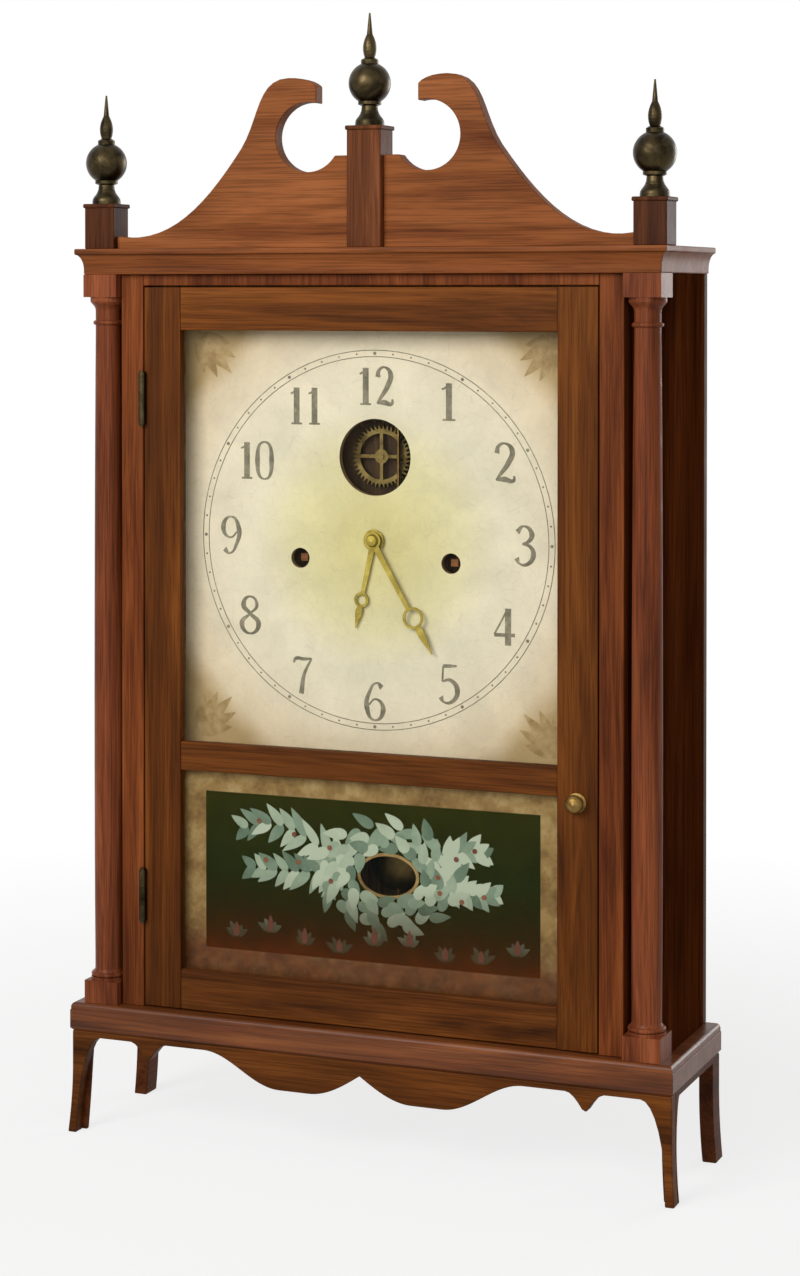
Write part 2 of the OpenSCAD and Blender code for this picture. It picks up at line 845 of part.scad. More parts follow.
module dial_panel() {
    half = sight_half + dial_side;
    color(cream) difference() {
        box([-half, dial_y, sight_z - dial_edge], [half, dial_back_y, sight_top_z + dial_edge]);
        bar(centre_at, pipe_r + 1.5, dial_y - 1, dial_back_y + 1);
        bar(escape_at, aperture_d / 2, dial_y - 1, dial_back_y + 1);
        for (at = [time_at, strike_at])
            bar(at, winding_hole_d / 2, dial_y - 1, dial_back_y + 1);
    }
}

// A pierced hand along +Z from its boss: slim stem, open ring and a pointed tip
module hand_outline(l, boss_r, bore_r) {
    ring_at = [0, l * 0.68];
    ring_r = l * 0.085;
    blade = curve([1.8, ring_at.y + ring_r * 0.9], [4, l * 0.84], [0.9, l * 0.9], [0.4, l], 6);
    difference() {
        union() {
            circle(r = boss_r);
            polygon([[-2.2, 0], [2.2, 0], [1.4, ring_at.y], [-1.4, ring_at.y]]);
            translate(ring_at) circle(r = ring_r);
            polygon(concat([for (p = blade) [-p.x, p.y]], reversed(blade)));
        }
        circle(r = bore_r);
        translate(ring_at) circle(r = ring_r - 1.8);
    }
}

// The hands show about twenty-five minutes past six
minute_dir = -150;
hour_dir = -192.5;

module hour_hand() {
    color(brass) from_front(hour_hand_y, hour_hand_y + hand_t)
        translate(centre_at) rotate(hour_dir) hand_outline(hour_l, pipe_r + 3, pipe_r);
}

module minute_hand() {
    color(brass) {
        from_front(minute_hand_y, minute_hand_y + hand_t)
            translate(centre_at) rotate(minute_dir) hand_outline(minute_l, centre_r + 3, centre_r);
        turned(centre_at, minute_hand_y)
            polygon([[0, 0], [centre_r + 1.5, 0], [centre_r + 0.5, 2], [0, 2.5]]);
    }
}

// Plates and what they hold

module plate(y, bores) {
    color(pale_wood) difference() {
        box([-plate_half, y, plate_z], [plate_half, y + plate_t, plate_top]);
        for (b = bores)
            bar(b[0], b[1], y - 1, y + plate_t + 1);
        for (at = pillar_spots)
            bar(at, pillar_r - 2, y - 1, y + plate_t + 1);
    }
}

pivots = [third_at, escape_at, pin_at, warning_at, fly_at, hammer_at];

module front_plate() {
    plate(plate_y, concat(
        [for (at = pivots) [at, (at == escape_at ? arbor_r : pivot_r) + run]],
        [[minute_at, pivot_r + run], [centre_at, centre_r + run], [verge_at, pin_r], [suspension_at, stud_r]],
        [for (at = [time_at, strike_at]) [at, winding_r + run]]));
}

module back_plate() {
    plate(back_plate_y, concat(
        [for (at = pivots) [at, pivot_r + run]],
        [[centre_at, pivot_r + run]],
        [for (at = [time_at, strike_at]) [at, winding_r + run]]));
}

module plate_pillars() {
    color(pale_wood) for (at = pillar_spots) {
        bar(at, pillar_r, inside_y, back_plate_y);
        bar(at, pillar_r - 2, plate_y, back_plate_y + plate_t);
    }
}

// The pin that the anchor rocks on and the stud that the pendulum hangs from
module escapement_studs() {
    color(brass) {
        bar(verge_at, pin_r, rod_y + rod_d / 2 + pass, inside_y);
        bar(suspension_at, stud_r, rod_y - 2, inside_y);
        bar(suspension_at, stud_r + 1.5, rod_y - 2.8, rod_y - 2);
    }
}

// Going train

// An arbor between the plates, with a thinner pivot in each of them
module arbor(at, r = arbor_r) {
    bar(at, r, inside_y + pass, back_plate_y - pass);
    bar(at, pivot_r, plate_y, back_plate_y + plate_t);
}

module centre_arbor() {
    color(pale_wood) {
        bar(centre_at, centre_r, minute_hand_y, back_plate_y - pass);
        bar(centre_at, pivot_r, back_plate_y - 1, back_plate_y + plate_t);
        pinion(centre_at, great_leaves, great_m, 0, time_great_y, great_t);
        wheel(centre_at, second_teeth, second_m, 0, second_y, wheel_t);
        pinion_l = thin_t - 2 * slack;
        pinion(centre_at, minute_leaves, motion_m, 0, minute_pinion_y + slack, pinion_l);
    }
}

module third_wheel() {
    color(pale_wood) {
        arbor(third_at);
        pinion(third_at, leaves, second_m, third_turn, second_y, wheel_t);
        wheel(third_at, third_teeth, fine_m, third_turn, fine_y, thin_t);
    }
}

// A brass wheel with pointed teeth and four spokes, in front of the front plate
module escape_wheel() {
    tip = escape_d / 2;
    root = tip - 3;
    rim = root - 3;
    color(brass) {
        from_front(escape_y, escape_y + 2) translate(escape_at) {
            difference() {
                polygon([
                    for (i = [0:escape_teeth - 1], k = [[root, -0.3], [tip, 0.1], [tip, 0.18], [root, 0.3]])
                        let (a = (i + k.y) * 360 / escape_teeth) k.x * [cos(a), sin(a)]
                ]);
                circle(r = rim);
            }
            circle(r = 5);
            for (a = [0:90:270])
                rotate(a) translate([0, -1.2]) square([rim + 1, 2.4]);
        }
        bar(escape_at, arbor_r, escape_y - 1, back_plate_y - pass);
        bar(escape_at, pivot_r, back_plate_y - 1, back_plate_y + plate_t);
        pinion(escape_at, leaves, fine_m, escape_turn, fine_y, thin_t);
    }
}

module minute_wheel() {
    color(pale_wood) {
        bar(minute_at, pivot_r, hour_wheel_y - slack, inside_y);
        wheel(minute_at, minute_teeth, motion_m, minute_turn, minute_pinion_y, thin_t);
        pinion(minute_at, leaves, motion_m, minute_turn, hour_wheel_y, thin_t);
    }
}

module hour_wheel() {
    color(pale_wood) difference() {
        union() {
            wheel(centre_at, hour_teeth, motion_m, hour_turn, hour_wheel_y, thin_t);
            bar(centre_at, pipe_r, hour_hand_y, hour_wheel_y + thin_t);
        }
        bar(centre_at, centre_r + run, hour_hand_y - 1, hour_wheel_y + thin_t + 1);
    }
}

// Anchor, fork and pendulum

module verge() {
    band_r = anchor_r - 1;
    span = 32;
    ends = [anchor_dir - span, anchor_dir + span];
    tip_r = escape_d / 2 + anchor_gap;
    fork_y = rod_y + rod_d / 2 + 2 * pass;
    boss_r = anchor_r - escape_d / 2 - anchor_gap / 2;
    color(brass) difference() {
        union() {
            from_front(escape_y, escape_y + wheel_t - slack) translate(escape_at) {
                intersection() {
                    difference() {
                        circle(r = band_r + 2);
                        circle(r = band_r);
                    }
                    polygon(concat([[0, 0]],
                        [for (a = [ends[0], anchor_dir, ends[1]]) 2 * anchor_r * [cos(a), sin(a)]]));
                }
                for (i = [0, 1])
                    rotate(ends[i]) translate([tip_r, i == 0 ? 0 : -2]) square([band_r + 2 - tip_r, 2]);
            }
            bar(verge_at, boss_r, fork_y, plate_y - pass);
            box([verge_at.x - 0.8, fork_y, fork_z], [verge_at.x + 0.8, fork_y + 1, verge_at.y]);
            box([verge_at.x - rod_d / 2 - 1.6, fork_y, fork_z - 3],
                [verge_at.x + rod_d / 2 + 1.6, fork_y + 1, fork_z]);
            for (side = [-1, 1])
                translate([verge_at.x + side * (rod_d / 2 + pass + 0.6) - 0.6, rod_y - rod_d, fork_z - 3])
                    cube([1.2, fork_y + 1 - rod_y + rod_d, 3]);
        }
        bar(verge_at, pin_r + run, fork_y - 1, plate_y);
    }
}

module pendulum_rod() {
    eye_r = stud_r + 1.5;
    end_z = bob_at.y - bob_d / 2 - 9;
    color(brass) {
        difference() {
            union() {
                bar(suspension_at, eye_r, rod_y - rod_d / 2, rod_y + rod_d / 2);
                rod([pendulum_x, rod_y, end_z], [pendulum_x, rod_y, suspension_at.y], rod_d / 2);
            }
            bar(suspension_at, stud_r + run, rod_y - rod_d, rod_y + rod_d);
        }
        translate([pendulum_x, rod_y, bob_at.y - bob_d / 2 - 6]) cylinder(r = 4, h = 3);
    }
}

// A lens of brass, thick in the middle and thin at its rim
module pendulum_bob() {
    back = (bob_d ^ 2 / 4 - bob_t ^ 2 / 4) / bob_t;
    lens_r = back + bob_t / 2;
    color(brass) translate([pendulum_x, rod_y, bob_at.y]) difference() {
        intersection() {
            translate([0, back, 0]) sphere(r = lens_r, $fn = 128);
            translate([0, -back, 0]) sphere(r = lens_r, $fn = 128);
        }
        translate([0, 0, -bob_d]) cylinder(r = rod_d / 2 + run, h = 2 * bob_d);
    }
}

// Winding drums and great wheels: a drum turns with its arbor, its wheel is driven by a click

module ratchet(at, y) {
    r = drum_d / 2 - 1;
    from_front(y, y + ratchet_t) translate(at)
        polygon([
            for (i = [0:11], k = [[r - 2, 0], [r, 0.05]])
                let (a = (i + k.y) * 30) k.x * [cos(a), sin(a)]
        ]);
}

module drum(at, y0, y1, ratchet_from, cord_y) {
    flange_t = 1.5;
    key_side = winding_r * 1.3;
    bar(at, winding_r, plate_y - 1, back_plate_y + plate_t);
    translate([at.x - key_side / 2, dial_back_y + 2, at.y - key_side / 2])
        cube([key_side, plate_y - dial_back_y - 2, key_side]);
    bar(at, drum_d / 2, y0, y1);
    bar(at, wound_r, max(y0, cord_y - wound_l / 2), min(y1, cord_y + wound_l / 2));
    for (y = [y0, y1 - flange_t])
        bar(at, wound_r + 2, y, y + flange_t);
    ratchet(at, ratchet_from);
}

module great_wheel(at, turn, y, click_y) {
    r = drum_d / 2;
    difference() {
        union() {
            wheel(at, great_teeth, great_m, turn, y, great_t);
            translate([at.x, 0, at.y]) box([r, click_y, -2.5], [r + 14, click_y + ratchet_t, 2.5]);
        }
        bar(at, winding_r + run, y - 1, y + great_t + 1);
    }
}

module time_great_wheel() {
    color(pale_wood)
        great_wheel(time_at, time_great_turn, time_great_y, time_great_y + great_t);
}

module time_drum() {
    color(pale_wood)
        drum(time_at, ratchet_y + ratchet_t, back_plate_y - 1, ratchet_y, time_cord_y);
}

// The strike great wheel carries the count wheel, with a notch after each hour's blows
module strike_great_wheel() {
    count_r = great_m * great_teeth / 2 - 5;
    color(pale_wood) {
        great_wheel(strike_at, 0, strike_great_y, strike_great_y - ratchet_t);
        from_front(count_y, count_y + count_t) translate(strike_at) difference() {
            circle(r = count_r);
            circle(r = winding_r + run);
            for (hour = [1:12])
                rotate(360 * hour * (hour + 1) / 2 / 78) translate([count_r - 3, -1]) square([5, 2]);
        }
    }
}

module strike_drum() {
    color(pale_wood)
        drum(strike_at, inside_y + 1, strike_great_y - ratchet_t - pass, strike_great_y - ratchet_t - pass,
            strike_cord_y);
}

// Striking train, hammer and bell

module pin_wheel() {
    color(pale_wood) {
        arbor(pin_at);
        pinion(pin_at, great_leaves, great_m, pin_turn, strike_great_y, great_t);
        wheel(pin_at, second_teeth, second_m, pin_turn, second_y, wheel_t);
        for (i = [0:hammer_pins - 1])
            bar(pin_at + pin_circle_r * [cos(i * 360 / hammer_pins), sin(i * 360 / hammer_pins)],
                pin_r, second_y - hammer_pin_l, second_y + 1);
    }
}

module warning_wheel() {
    color(pale_wood) {
        arbor(warning_at);
        pinion(warning_at, leaves, second_m, warning_turn, second_y, wheel_t);
        wheel(warning_at, warning_teeth, fine_m, warning_turn, fine_y, thin_t);
    }
}

// A two-bladed fan that slows the striking
module fly() {
    vane_r = 13;
    color(pale_wood) {
        arbor(fly_at);
        pinion(fly_at, leaves, fine_m, fly_turn, fine_y, thin_t);
        box([fly_at.x - vane_r, inside_y + 2, fly_at.y - 0.8],
            [fly_at.x + vane_r, second_y + wheel_t, fly_at.y + 0.8]);
    }
}

module hammer() {
    tail = hammer_at + (norm(pin_at - hammer_at) - pin_circle_r - pin_r - slack) * (pin_at - hammer_at)
        / norm(pin_at - hammer_at);
    tail_y = second_y - 2;
    color(iron) {
        arbor(hammer_at);
        rod([hammer_at.x, tail_y, hammer_at.y], [tail.x, tail_y, tail.y], 1.2);
        rod([hammer_at.x, hammer_y, hammer_at.y], [hammer_tip.x, hammer_y, hammer_tip.y], 1.2);
        translate([hammer_tip.x - 4, hammer_y, hammer_tip.y]) rotate([0, 90, 0]) cylinder(r = 4, h = 9);
    }
}

// A cast bell on a post from the backboard, with its mouth to the back
module bell() {
    r = bell_d / 2;
    wall = 2.2;
    color(brass) {
        turned(bell_at, bell_y + bell_l) difference() {
            polygon(concat([[0, 0], [r, 0], [r, 2]],
                curve([r - 1, 4], [r - 3, bell_l * 0.9], [r * 0.6, bell_l], [4, bell_l], 10), [[0, bell_l]]));
            polygon(concat([[0, -1], [r - wall, -1], [r - wall, 2]],
                curve([r - wall - 1, 4], [r - wall - 3, bell_l * 0.8], [r * 0.5, bell_l - wall],
                    [3, bell_l - wall], 10), [[0, bell_l - wall]]));
        }
        bar(bell_at, 2, bell_y - 4, backboard_y);
        bar(bell_at, 4, bell_y - 3, bell_y);
        bar(bell_at, 5, backboard_y - 2, backboard_y);
    }
}

// Pulleys, cords and weights

// The time side is on the right and the strike side on the left, each with its cord's own depth
cord_sides = [[1, time_cord_y], [-1, strike_cord_y]];

module pulley_hangers() {
    cheek_y = pulley_t / 2 + pass;
    cheek_t = 2;
    cheek_w = 10;
    color(iron) for (s = cord_sides) translate([s[0] * pulley_x, s[1], 0]) {
        for (y = [-cheek_y - cheek_t, cheek_y])
            box([-cheek_w / 2, y, pulley_z - cheek_w / 2], [cheek_w / 2, y + cheek_t, ceiling_z]);
        box([-cheek_w / 2, -cheek_y, ceiling_z - 1], [cheek_w / 2, cheek_y, ceiling_z]);
        bar([0, pulley_z], pivot_r, -cheek_y - cheek_t, cheek_y + cheek_t);
    }
}

// A wooden pulley with a round groove
module pulley(side) {
    color(pale_wood) turned([side[0] * pulley_x, pulley_z], side[1] + pulley_t / 2) difference() {
        translate([pivot_r + run, 0]) square([pulley_rim - pivot_r - run, pulley_t]);
        translate([groove_r, pulley_t / 2]) circle(r = cord_d / 2 + pass);
        translate([groove_r, pulley_t / 2 - cord_d / 2 - pass]) square([pulley_rim, cord_d + 2 * pass]);
    }
}

module time_pulley() {
    pulley(cord_sides[0]);
}

module strike_pulley() {
    pulley(cord_sides[1]);
}

// A cord that leaves the outside of its drum, crosses to the pulley and goes over it
module cord_lead() {
    end = [pulley_x, pulley_z] - groove_r * cord_side + slack * [cos(cord_dir), sin(cord_dir)];
    rod([cord_low.x, 0, cord_low.y], [end.x, 0, end.y], cord_d / 2 - run);
    translate([pulley_x, 0, pulley_z]) rotate([90, 0, 0])
        rotate_extrude(angle = cord_dir + 90) translate([groove_r, 0]) circle(d = cord_d);
}

module weight_cords() {
    color(hemp) {
        translate([0, time_cord_y, 0]) cord_lead();
        translate([0, strike_cord_y, 0]) mirror([1, 0, 0]) cord_lead();
    }
}

// The hanging end of a cord, from its pulley down to the weight's eye
module cord_drop(side) {
    color(hemp) translate([side[0] * weight_x, side[1], drop_end_z + pass])
        cylinder(d = cord_d, h = pulley_z - drop_end_z - pass);
}

module time_cord_drop() {
    cord_drop(cord_sides[0]);
}

module strike_cord_drop() {
    cord_drop(cord_sides[1]);
}

// A cast-iron weight with a rounded shoulder and a wire eye
module weight(side) {
    r = weight_d / 2;
    shoulder = 5;
    color(iron) translate([side[0] * weight_x, side[1], weight_top]) {
        rotate_extrude()
            polygon(concat([[0, -weight_l], [r - 1, -weight_l], [r, 1 - weight_l]],
                arc([r - shoulder, -shoulder], shoulder, 0, 90), [[0, 0]]));
        translate([0, 0, weight_eye_r - cord_d / 4]) rotate([90, 0, 0])
            rotate_extrude() translate([weight_eye_r, 0]) circle(d = cord_d);
    }
}

module time_weight() {
    weight(cord_sides[0]);
}

module strike_weight() {
    weight(cord_sides[1]);
}

base_moulding();
front_skirt();
side_skirts();
case_sides();
top_board();
backboard();
front_stiles();
head_rail();
cornice();
scroll_pediment();
centre_plinth();
side_plinths();
left_finial();
centre_finial();
right_finial();
left_column();
right_column();
case_rails();
hinge_case_leaves();
door_left_stile();
door_right_stile();
door_top_rail();
door_mid_rail();
door_bottom_rail();
dial_glass();
tablet_glass();
hinge_door_leaves();
door_latch();
dial_panel();
hour_hand();
minute_hand();
front_plate();
back_plate();
plate_pillars();
escapement_studs();
centre_arbor();
hour_wheel();
minute_wheel();
third_wheel();
escape_wheel();
verge();
pendulum_rod();
pendulum_bob();
time_great_wheel();
time_drum();
strike_great_wheel();
strike_drum();
pin_wheel();
warning_wheel();
fly();
hammer();
bell();
pulley_hangers();
time_pulley();
strike_pulley();
weight_cords();
time_cord_drop();
strike_cord_drop();
time_weight();
strike_weight();
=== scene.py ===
# %% [markdown]
# A pillar and scroll shelf clock, dressed for the photograph's view.
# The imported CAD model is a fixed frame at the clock's real size. Every piece made here is in metres,
# in that frame, and takes its measures from the boxes of the CAD nodes, so nothing is fitted afterwards.

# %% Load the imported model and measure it
import bpy
import bmesh
import json
import random
from math import asin, atan2, cos, degrees, pi, radians, sin
from mathutils import Matrix, Vector


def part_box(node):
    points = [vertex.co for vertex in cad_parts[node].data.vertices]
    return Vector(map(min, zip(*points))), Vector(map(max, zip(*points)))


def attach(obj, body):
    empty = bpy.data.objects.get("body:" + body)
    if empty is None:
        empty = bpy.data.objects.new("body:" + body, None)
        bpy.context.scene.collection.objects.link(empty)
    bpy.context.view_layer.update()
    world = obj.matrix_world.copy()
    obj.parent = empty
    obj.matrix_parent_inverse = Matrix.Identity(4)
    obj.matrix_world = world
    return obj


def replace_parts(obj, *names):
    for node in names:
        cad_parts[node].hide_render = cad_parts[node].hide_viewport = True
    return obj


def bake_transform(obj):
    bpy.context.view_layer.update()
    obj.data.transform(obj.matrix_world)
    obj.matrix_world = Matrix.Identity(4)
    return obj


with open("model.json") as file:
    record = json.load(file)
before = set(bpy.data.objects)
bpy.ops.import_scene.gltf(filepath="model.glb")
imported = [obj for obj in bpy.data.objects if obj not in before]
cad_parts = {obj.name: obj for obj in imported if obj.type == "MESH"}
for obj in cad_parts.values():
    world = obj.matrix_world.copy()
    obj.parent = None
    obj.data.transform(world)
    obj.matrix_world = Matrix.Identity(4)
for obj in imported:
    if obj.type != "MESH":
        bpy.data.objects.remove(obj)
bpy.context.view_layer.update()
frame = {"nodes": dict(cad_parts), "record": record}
node = frame["nodes"]
scene = bpy.context.scene

# %% [markdown]
# The camera stands to the right of the clock and a little below its top.
# A wide lens close by would make the near side swell, so a long lens from further off is used.
# Tilting the camera down would make upright edges lean. Shifting the lens lowers the view instead,
# almost without a tilt, and the edges stay upright as they are in the picture.

# %% Camera
tilt_down, turn_left = 0.9, 22.14
camera = bpy.data.cameras.new("photo_camera")
camera.lens = 78.65
camera.sensor_width = 36
camera.shift_x = 0.007
camera.shift_y = -0.235
tripod = bpy.data.objects.new("photo_camera", camera)
tripod.location = (0.7316, -1.797, 0.594)
tripod.rotation_euler = (radians(90 - tilt_down), 0, radians(turn_left))
scene.collection.objects.link(tripod)
scene.camera = tripod
scene.view_settings.view_transform = "Standard"
print("camera at", tuple(tripod.location))

# %% [markdown]
# A material is a tree of nodes. It could be drawn by hand in the shader editor, but a tree in code comes out
# the same on every run. A few short functions keep it readable: they change a screen colour to the linear
# values that shaders use, add a node and link its inputs, and start a new material.
# A value that is the same all over a surface goes straight onto the shader's own socket.

# %% Helpers that start a material


def rgb(r, g, b):
    """A colour given as screen values from 0 to 255, as linear values."""
    def linear(v):
        v /= 255
        return v / 12.92 if v <= 0.04045 else ((v + 0.055) / 1.055) ** 2.4
    return (linear(r), linear(g), linear(b), 1)


def connect(tree, value, socket):
    """Links another node's output to a socket, or sets a plain value on it."""
    if isinstance(value, bpy.types.NodeSocket):
        tree.links.new(value, socket)
    else:
        socket.default_value = value


def add(tree, kind, inputs=None, **settings):
    """A new node with its settings made and its inputs linked or set."""
    made = tree.nodes.new("ShaderNode" + kind)
    for name, value in settings.items():
        setattr(made, name, value)
    for name, value in (inputs or {}).items():
        connect(tree, value, made.inputs[name])
    return made


def new_finish(name, **sockets):
    """A new material, its tree and its shader, with constant values on the shader's sockets."""
    made = bpy.data.materials.new(name)
    made.use_nodes = True
    shader = made.node_tree.nodes["Principled BSDF"]
    for socket, value in sockets.items():
        shader.inputs[socket.replace("_", " ")].default_value = value
    return made, made.node_tree, shader


print("middle grey on the screen is", round(rgb(128, 128, 128)[0], 3), "in a shader")

# %% [markdown]
# Old wood, paint and metal are never even. A picture of each could be wrapped round the pieces, but it
# blurs close up. Noise is worked out anew at every point and stays sharp at any distance.
# It reads each piece's own coordinates, so a pattern keeps its true size and moves with its piece.

# %% Helpers for patterns


def place(tree, scale=(1, 1, 1), shift=(0, 0, 0)):
    """The piece's own coordinates, moved and stretched."""
    coords = add(tree, "TexCoord").outputs["Object"]
    return add(tree, "Mapping", {"Vector": coords, "Location": shift, "Scale": scale}).outputs[0]


def along(tree, axis, shift=(0, 0, 0)):
    """One of the piece's own coordinates."""
    return add(tree, "SeparateXYZ", {0: place(tree, shift=shift)}).outputs[axis]


def noise(tree, where, scale, detail=3.0, rough=0.55, twist=0.0):
    return add(tree, "TexNoise", {"Vector": where, "Scale": scale, "Detail": detail,
                                  "Roughness": rough, "Distortion": twist}).outputs[0]


def ramp(tree, value, *stops):
    """Colours or greys at given values, with even steps between them."""
    made = add(tree, "ValToRGB", {0: value})
    band = made.color_ramp
    while len(band.elements) < len(stops):
        band.elements.new(0.5)
    for element, (at, colour) in zip(band.elements, stops):
        element.position = at
        element.color = colour if hasattr(colour, "__len__") else (colour, colour, colour, 1)
    return made.outputs[0]


def mix(tree, share, a, b, way="MIX"):
    """Blends two colours. The node has sockets for numbers and vectors too, before those for colours."""
    made = add(tree, "Mix", data_type="RGBA", blend_type=way)
    for socket, value in ((0, share), (6, a), (7, b)):
        connect(tree, value, made.inputs[socket])
    return made.outputs[2]


def maths(tree, way, a, b=0.0):
    return add(tree, "Math", {0: a, 1: b}, operation=way).outputs[0]


def measure(tree, way, vector, other=(0, 0, 0)):
    return add(tree, "VectorMath", {0: vector, 1: other}, operation=way).outputs


def spread(tree, value, low, high, to_low, to_high):
    """Brings a value from one range to another and stops at its ends."""
    return add(tree, "MapRange", {"Value": value, "From Min": low, "From Max": high,
                                  "To Min": to_low, "To Max": to_high}).outputs[0]


print("pattern helpers ready")

# %% [markdown]
# Three things make a surface look real: its colour, how rough it is, and its fine relief.
# Each has a helper that hands a pattern to the shader. In many finishes colour and roughness follow
# the same noise, because a stain changes both, so one function makes such a finish whole.

# %% Helpers for the shader


def tint(tree, shader, colour):
    tree.links.new(colour, shader.inputs["Base Color"])


def wear(tree, shader, value, low, high):
    """Roughness that follows a pattern, between two values."""
    tree.links.new(spread(tree, value, 0, 1, low, high), shader.inputs["Roughness"])


def bump(tree, shader, height, depth, strength=0.5):
    made = add(tree, "Bump", {"Height": height, "Distance": depth, "Strength": strength})
    tree.links.new(made.outputs[0], shader.inputs["Normal"])


def clouded(name, scale, stops, rough, detail=4, blend=0.6, twist=0.0, **sockets):
    """A finish whose colour and roughness both follow one noise."""
    made, tree, shader = new_finish(name, **sockets)
    cloud = noise(tree, place(tree), scale, detail, blend, twist)
    tint(tree, shader, ramp(tree, cloud, *stops))
    wear(tree, shader, cloud, *rough)
    return made


print("shader helpers ready")

# %% [markdown]
# The picture has a plain white ground. More light would whiten it, but would bleach the clock as well.
# The Light Path node tells rays that end in the picture from rays that carry light to the clock: the first
# see a white world, the second a dim and slightly warm one, at which a colour renders about as written.

# %% World


def in_picture(tree):
    """1 for a ray from the camera, straight or by way of gloss or glass, and 0 for other light."""
    ray = add(tree, "LightPath").outputs
    seen = maths(tree, "MAXIMUM", ray["Is Camera Ray"], ray["Is Glossy Ray"])
    return maths(tree, "MAXIMUM", seen, ray["Is Transmission Ray"])


world = bpy.data.worlds.new("studio")
scene.world = world
world.use_nodes = True
sky = world.node_tree
sky.nodes.clear()
soft = add(sky, "Background", {"Color": (1, 0.98, 0.95, 1), "Strength": 0.24})
white = add(sky, "Background", {"Color": (1, 1, 1, 1), "Strength": 1.0})
both = add(sky, "MixShader", {0: in_picture(sky), 1: soft.outputs[0], 2: white.outputs[0]})
add(sky, "OutputWorld", {"Surface": both.outputs[0]})
print("world nodes:", len(sky.nodes))

# %% [markdown]
# The clock is lit softly from the front, so its sides fall dark. A sun or a point lamp would cut hard
# shadows; an area lamp as large as a studio softbox gives soft ones. The key stands a little to the left,
# a second lamp fills from the right, and a weak one behind on the right catches the ends of the mouldings.

# %% Lamps


def lamp(name, at, aim, size, power):
    light = bpy.data.lights.new(name, "AREA")
    light.size = size
    light.energy = power
    stand = bpy.data.objects.new(name, light)
    stand.location = at
    stand.rotation_euler = (Vector(aim) - Vector(at)).to_track_quat("-Z", "Y").to_euler()
    scene.collection.objects.link(stand)


lamp("key_softbox", at=(-0.7, -2.2, 1.5), aim=(0, 0, 0.42), size=1.3, power=40)
lamp("front_softbox", at=(0.9, -2.5, 1.2), aim=(0, 0, 0.4), size=1.6, power=18)
lamp("back_softbox", at=(1.0, 2.2, 0.75), aim=(0, 0, 0.4), size=1.0, power=15)
print("lamps:", [light.name for light in bpy.data.lights if light.type == "AREA"])

# %% [markdown]
# The clock stands on a pale floor that keeps its shadow. A plain white floor would turn grey toward
# a horizon. Here a share of pure white grows with distance from the clock, so that no horizon shows.
# For light that bounces up the floor is a duller grey, or it would brighten the underside of every moulding.

# %% Floor
floor_half = 6
white_from, white_at = 0.35, 1.1
bm = bmesh.new()
bmesh.ops.create_grid(bm, x_segments=1, y_segments=1, size=floor_half)
floor_mesh = bpy.data.meshes.new("floor")
bm.to_mesh(floor_mesh)
bm.free()
floor = bpy.data.objects.new("floor", floor_mesh)
scene.collection.objects.link(floor)
pale_floor, tree, shader = new_finish("pale_floor", Roughness=0.9, Specular_IOR_Level=0.0)
seen = in_picture(tree)
tint(tree, shader, ramp(tree, seen, (0.0, 0.5), (1.0, 0.95)))
away = measure(tree, "LENGTH", place(tree))["Value"]
share = maths(tree, "MULTIPLY", seen, spread(tree, away, white_from, white_at, 0.76, 1.0))
glow = add(tree, "Emission", {"Color": (1, 1, 1, 1), "Strength": 1.0})
both = add(tree, "MixShader", {0: share, 1: shader.outputs[0], 2: glow.outputs[0]})
tree.links.new(both.outputs[0], tree.nodes["Material Output"].inputs["Surface"])
floor_mesh.materials.append(pale_floor)
print("floor is pure white from", white_at, "m")

# %% [markdown]
# Mahogany shows three scales at once: broad dark and light figure along the board, fine dark pores
# drawn out along the grain, and a slow change of tone from end to end.
# Rings of a log could be cut through, as in a wave texture, but veneer shows no rings.
# Noise stretched along one axis gives all three scales, and that axis is the grain.

# %% Wood


def drawn_out(grain, slow):
    """A scale that stretches a pattern along one axis."""
    return tuple(slow if axis == grain else 1 for axis in "xyz")


def wood(name, dark, middle, light, grain, rough=(0.42, 0.6), specular=0.07, polish=0.0, figure=46):
    """Wood with its grain along x, y or z. A higher figure is a finer one."""
    made, tree, shader = new_finish(name, Specular_IOR_Level=specular,
                                    Coat_Weight=polish, Coat_Roughness=0.16)
    flame = noise(tree, place(tree, drawn_out(grain, 0.07)), figure, 5, 0.6, 1.6)
    colour = ramp(tree, flame, (0.3, dark), (0.5, middle), (0.72, light))
    tone = ramp(tree, noise(tree, place(tree), 5.5, 2, 0.5, 0.6), (0.3, 0.72), (0.7, 1.1))
    colour = mix(tree, 1.0, colour, tone, "MULTIPLY")
    pores = noise(tree, place(tree, drawn_out(grain, 0.02)), 900, 2, 0.6)
    flecks = ramp(tree, pores, (0.4, 0.55), (0.52, 1.0))
    tint(tree, shader, mix(tree, 0.75, colour, flecks, "MULTIPLY"))
    wear(tree, shader, noise(tree, place(tree), 24, 3), *rough)
    bump(tree, shader, pores, 0.0004, 0.25)
    return made


print("a pattern along z is stretched by", drawn_out("z", 0.07))
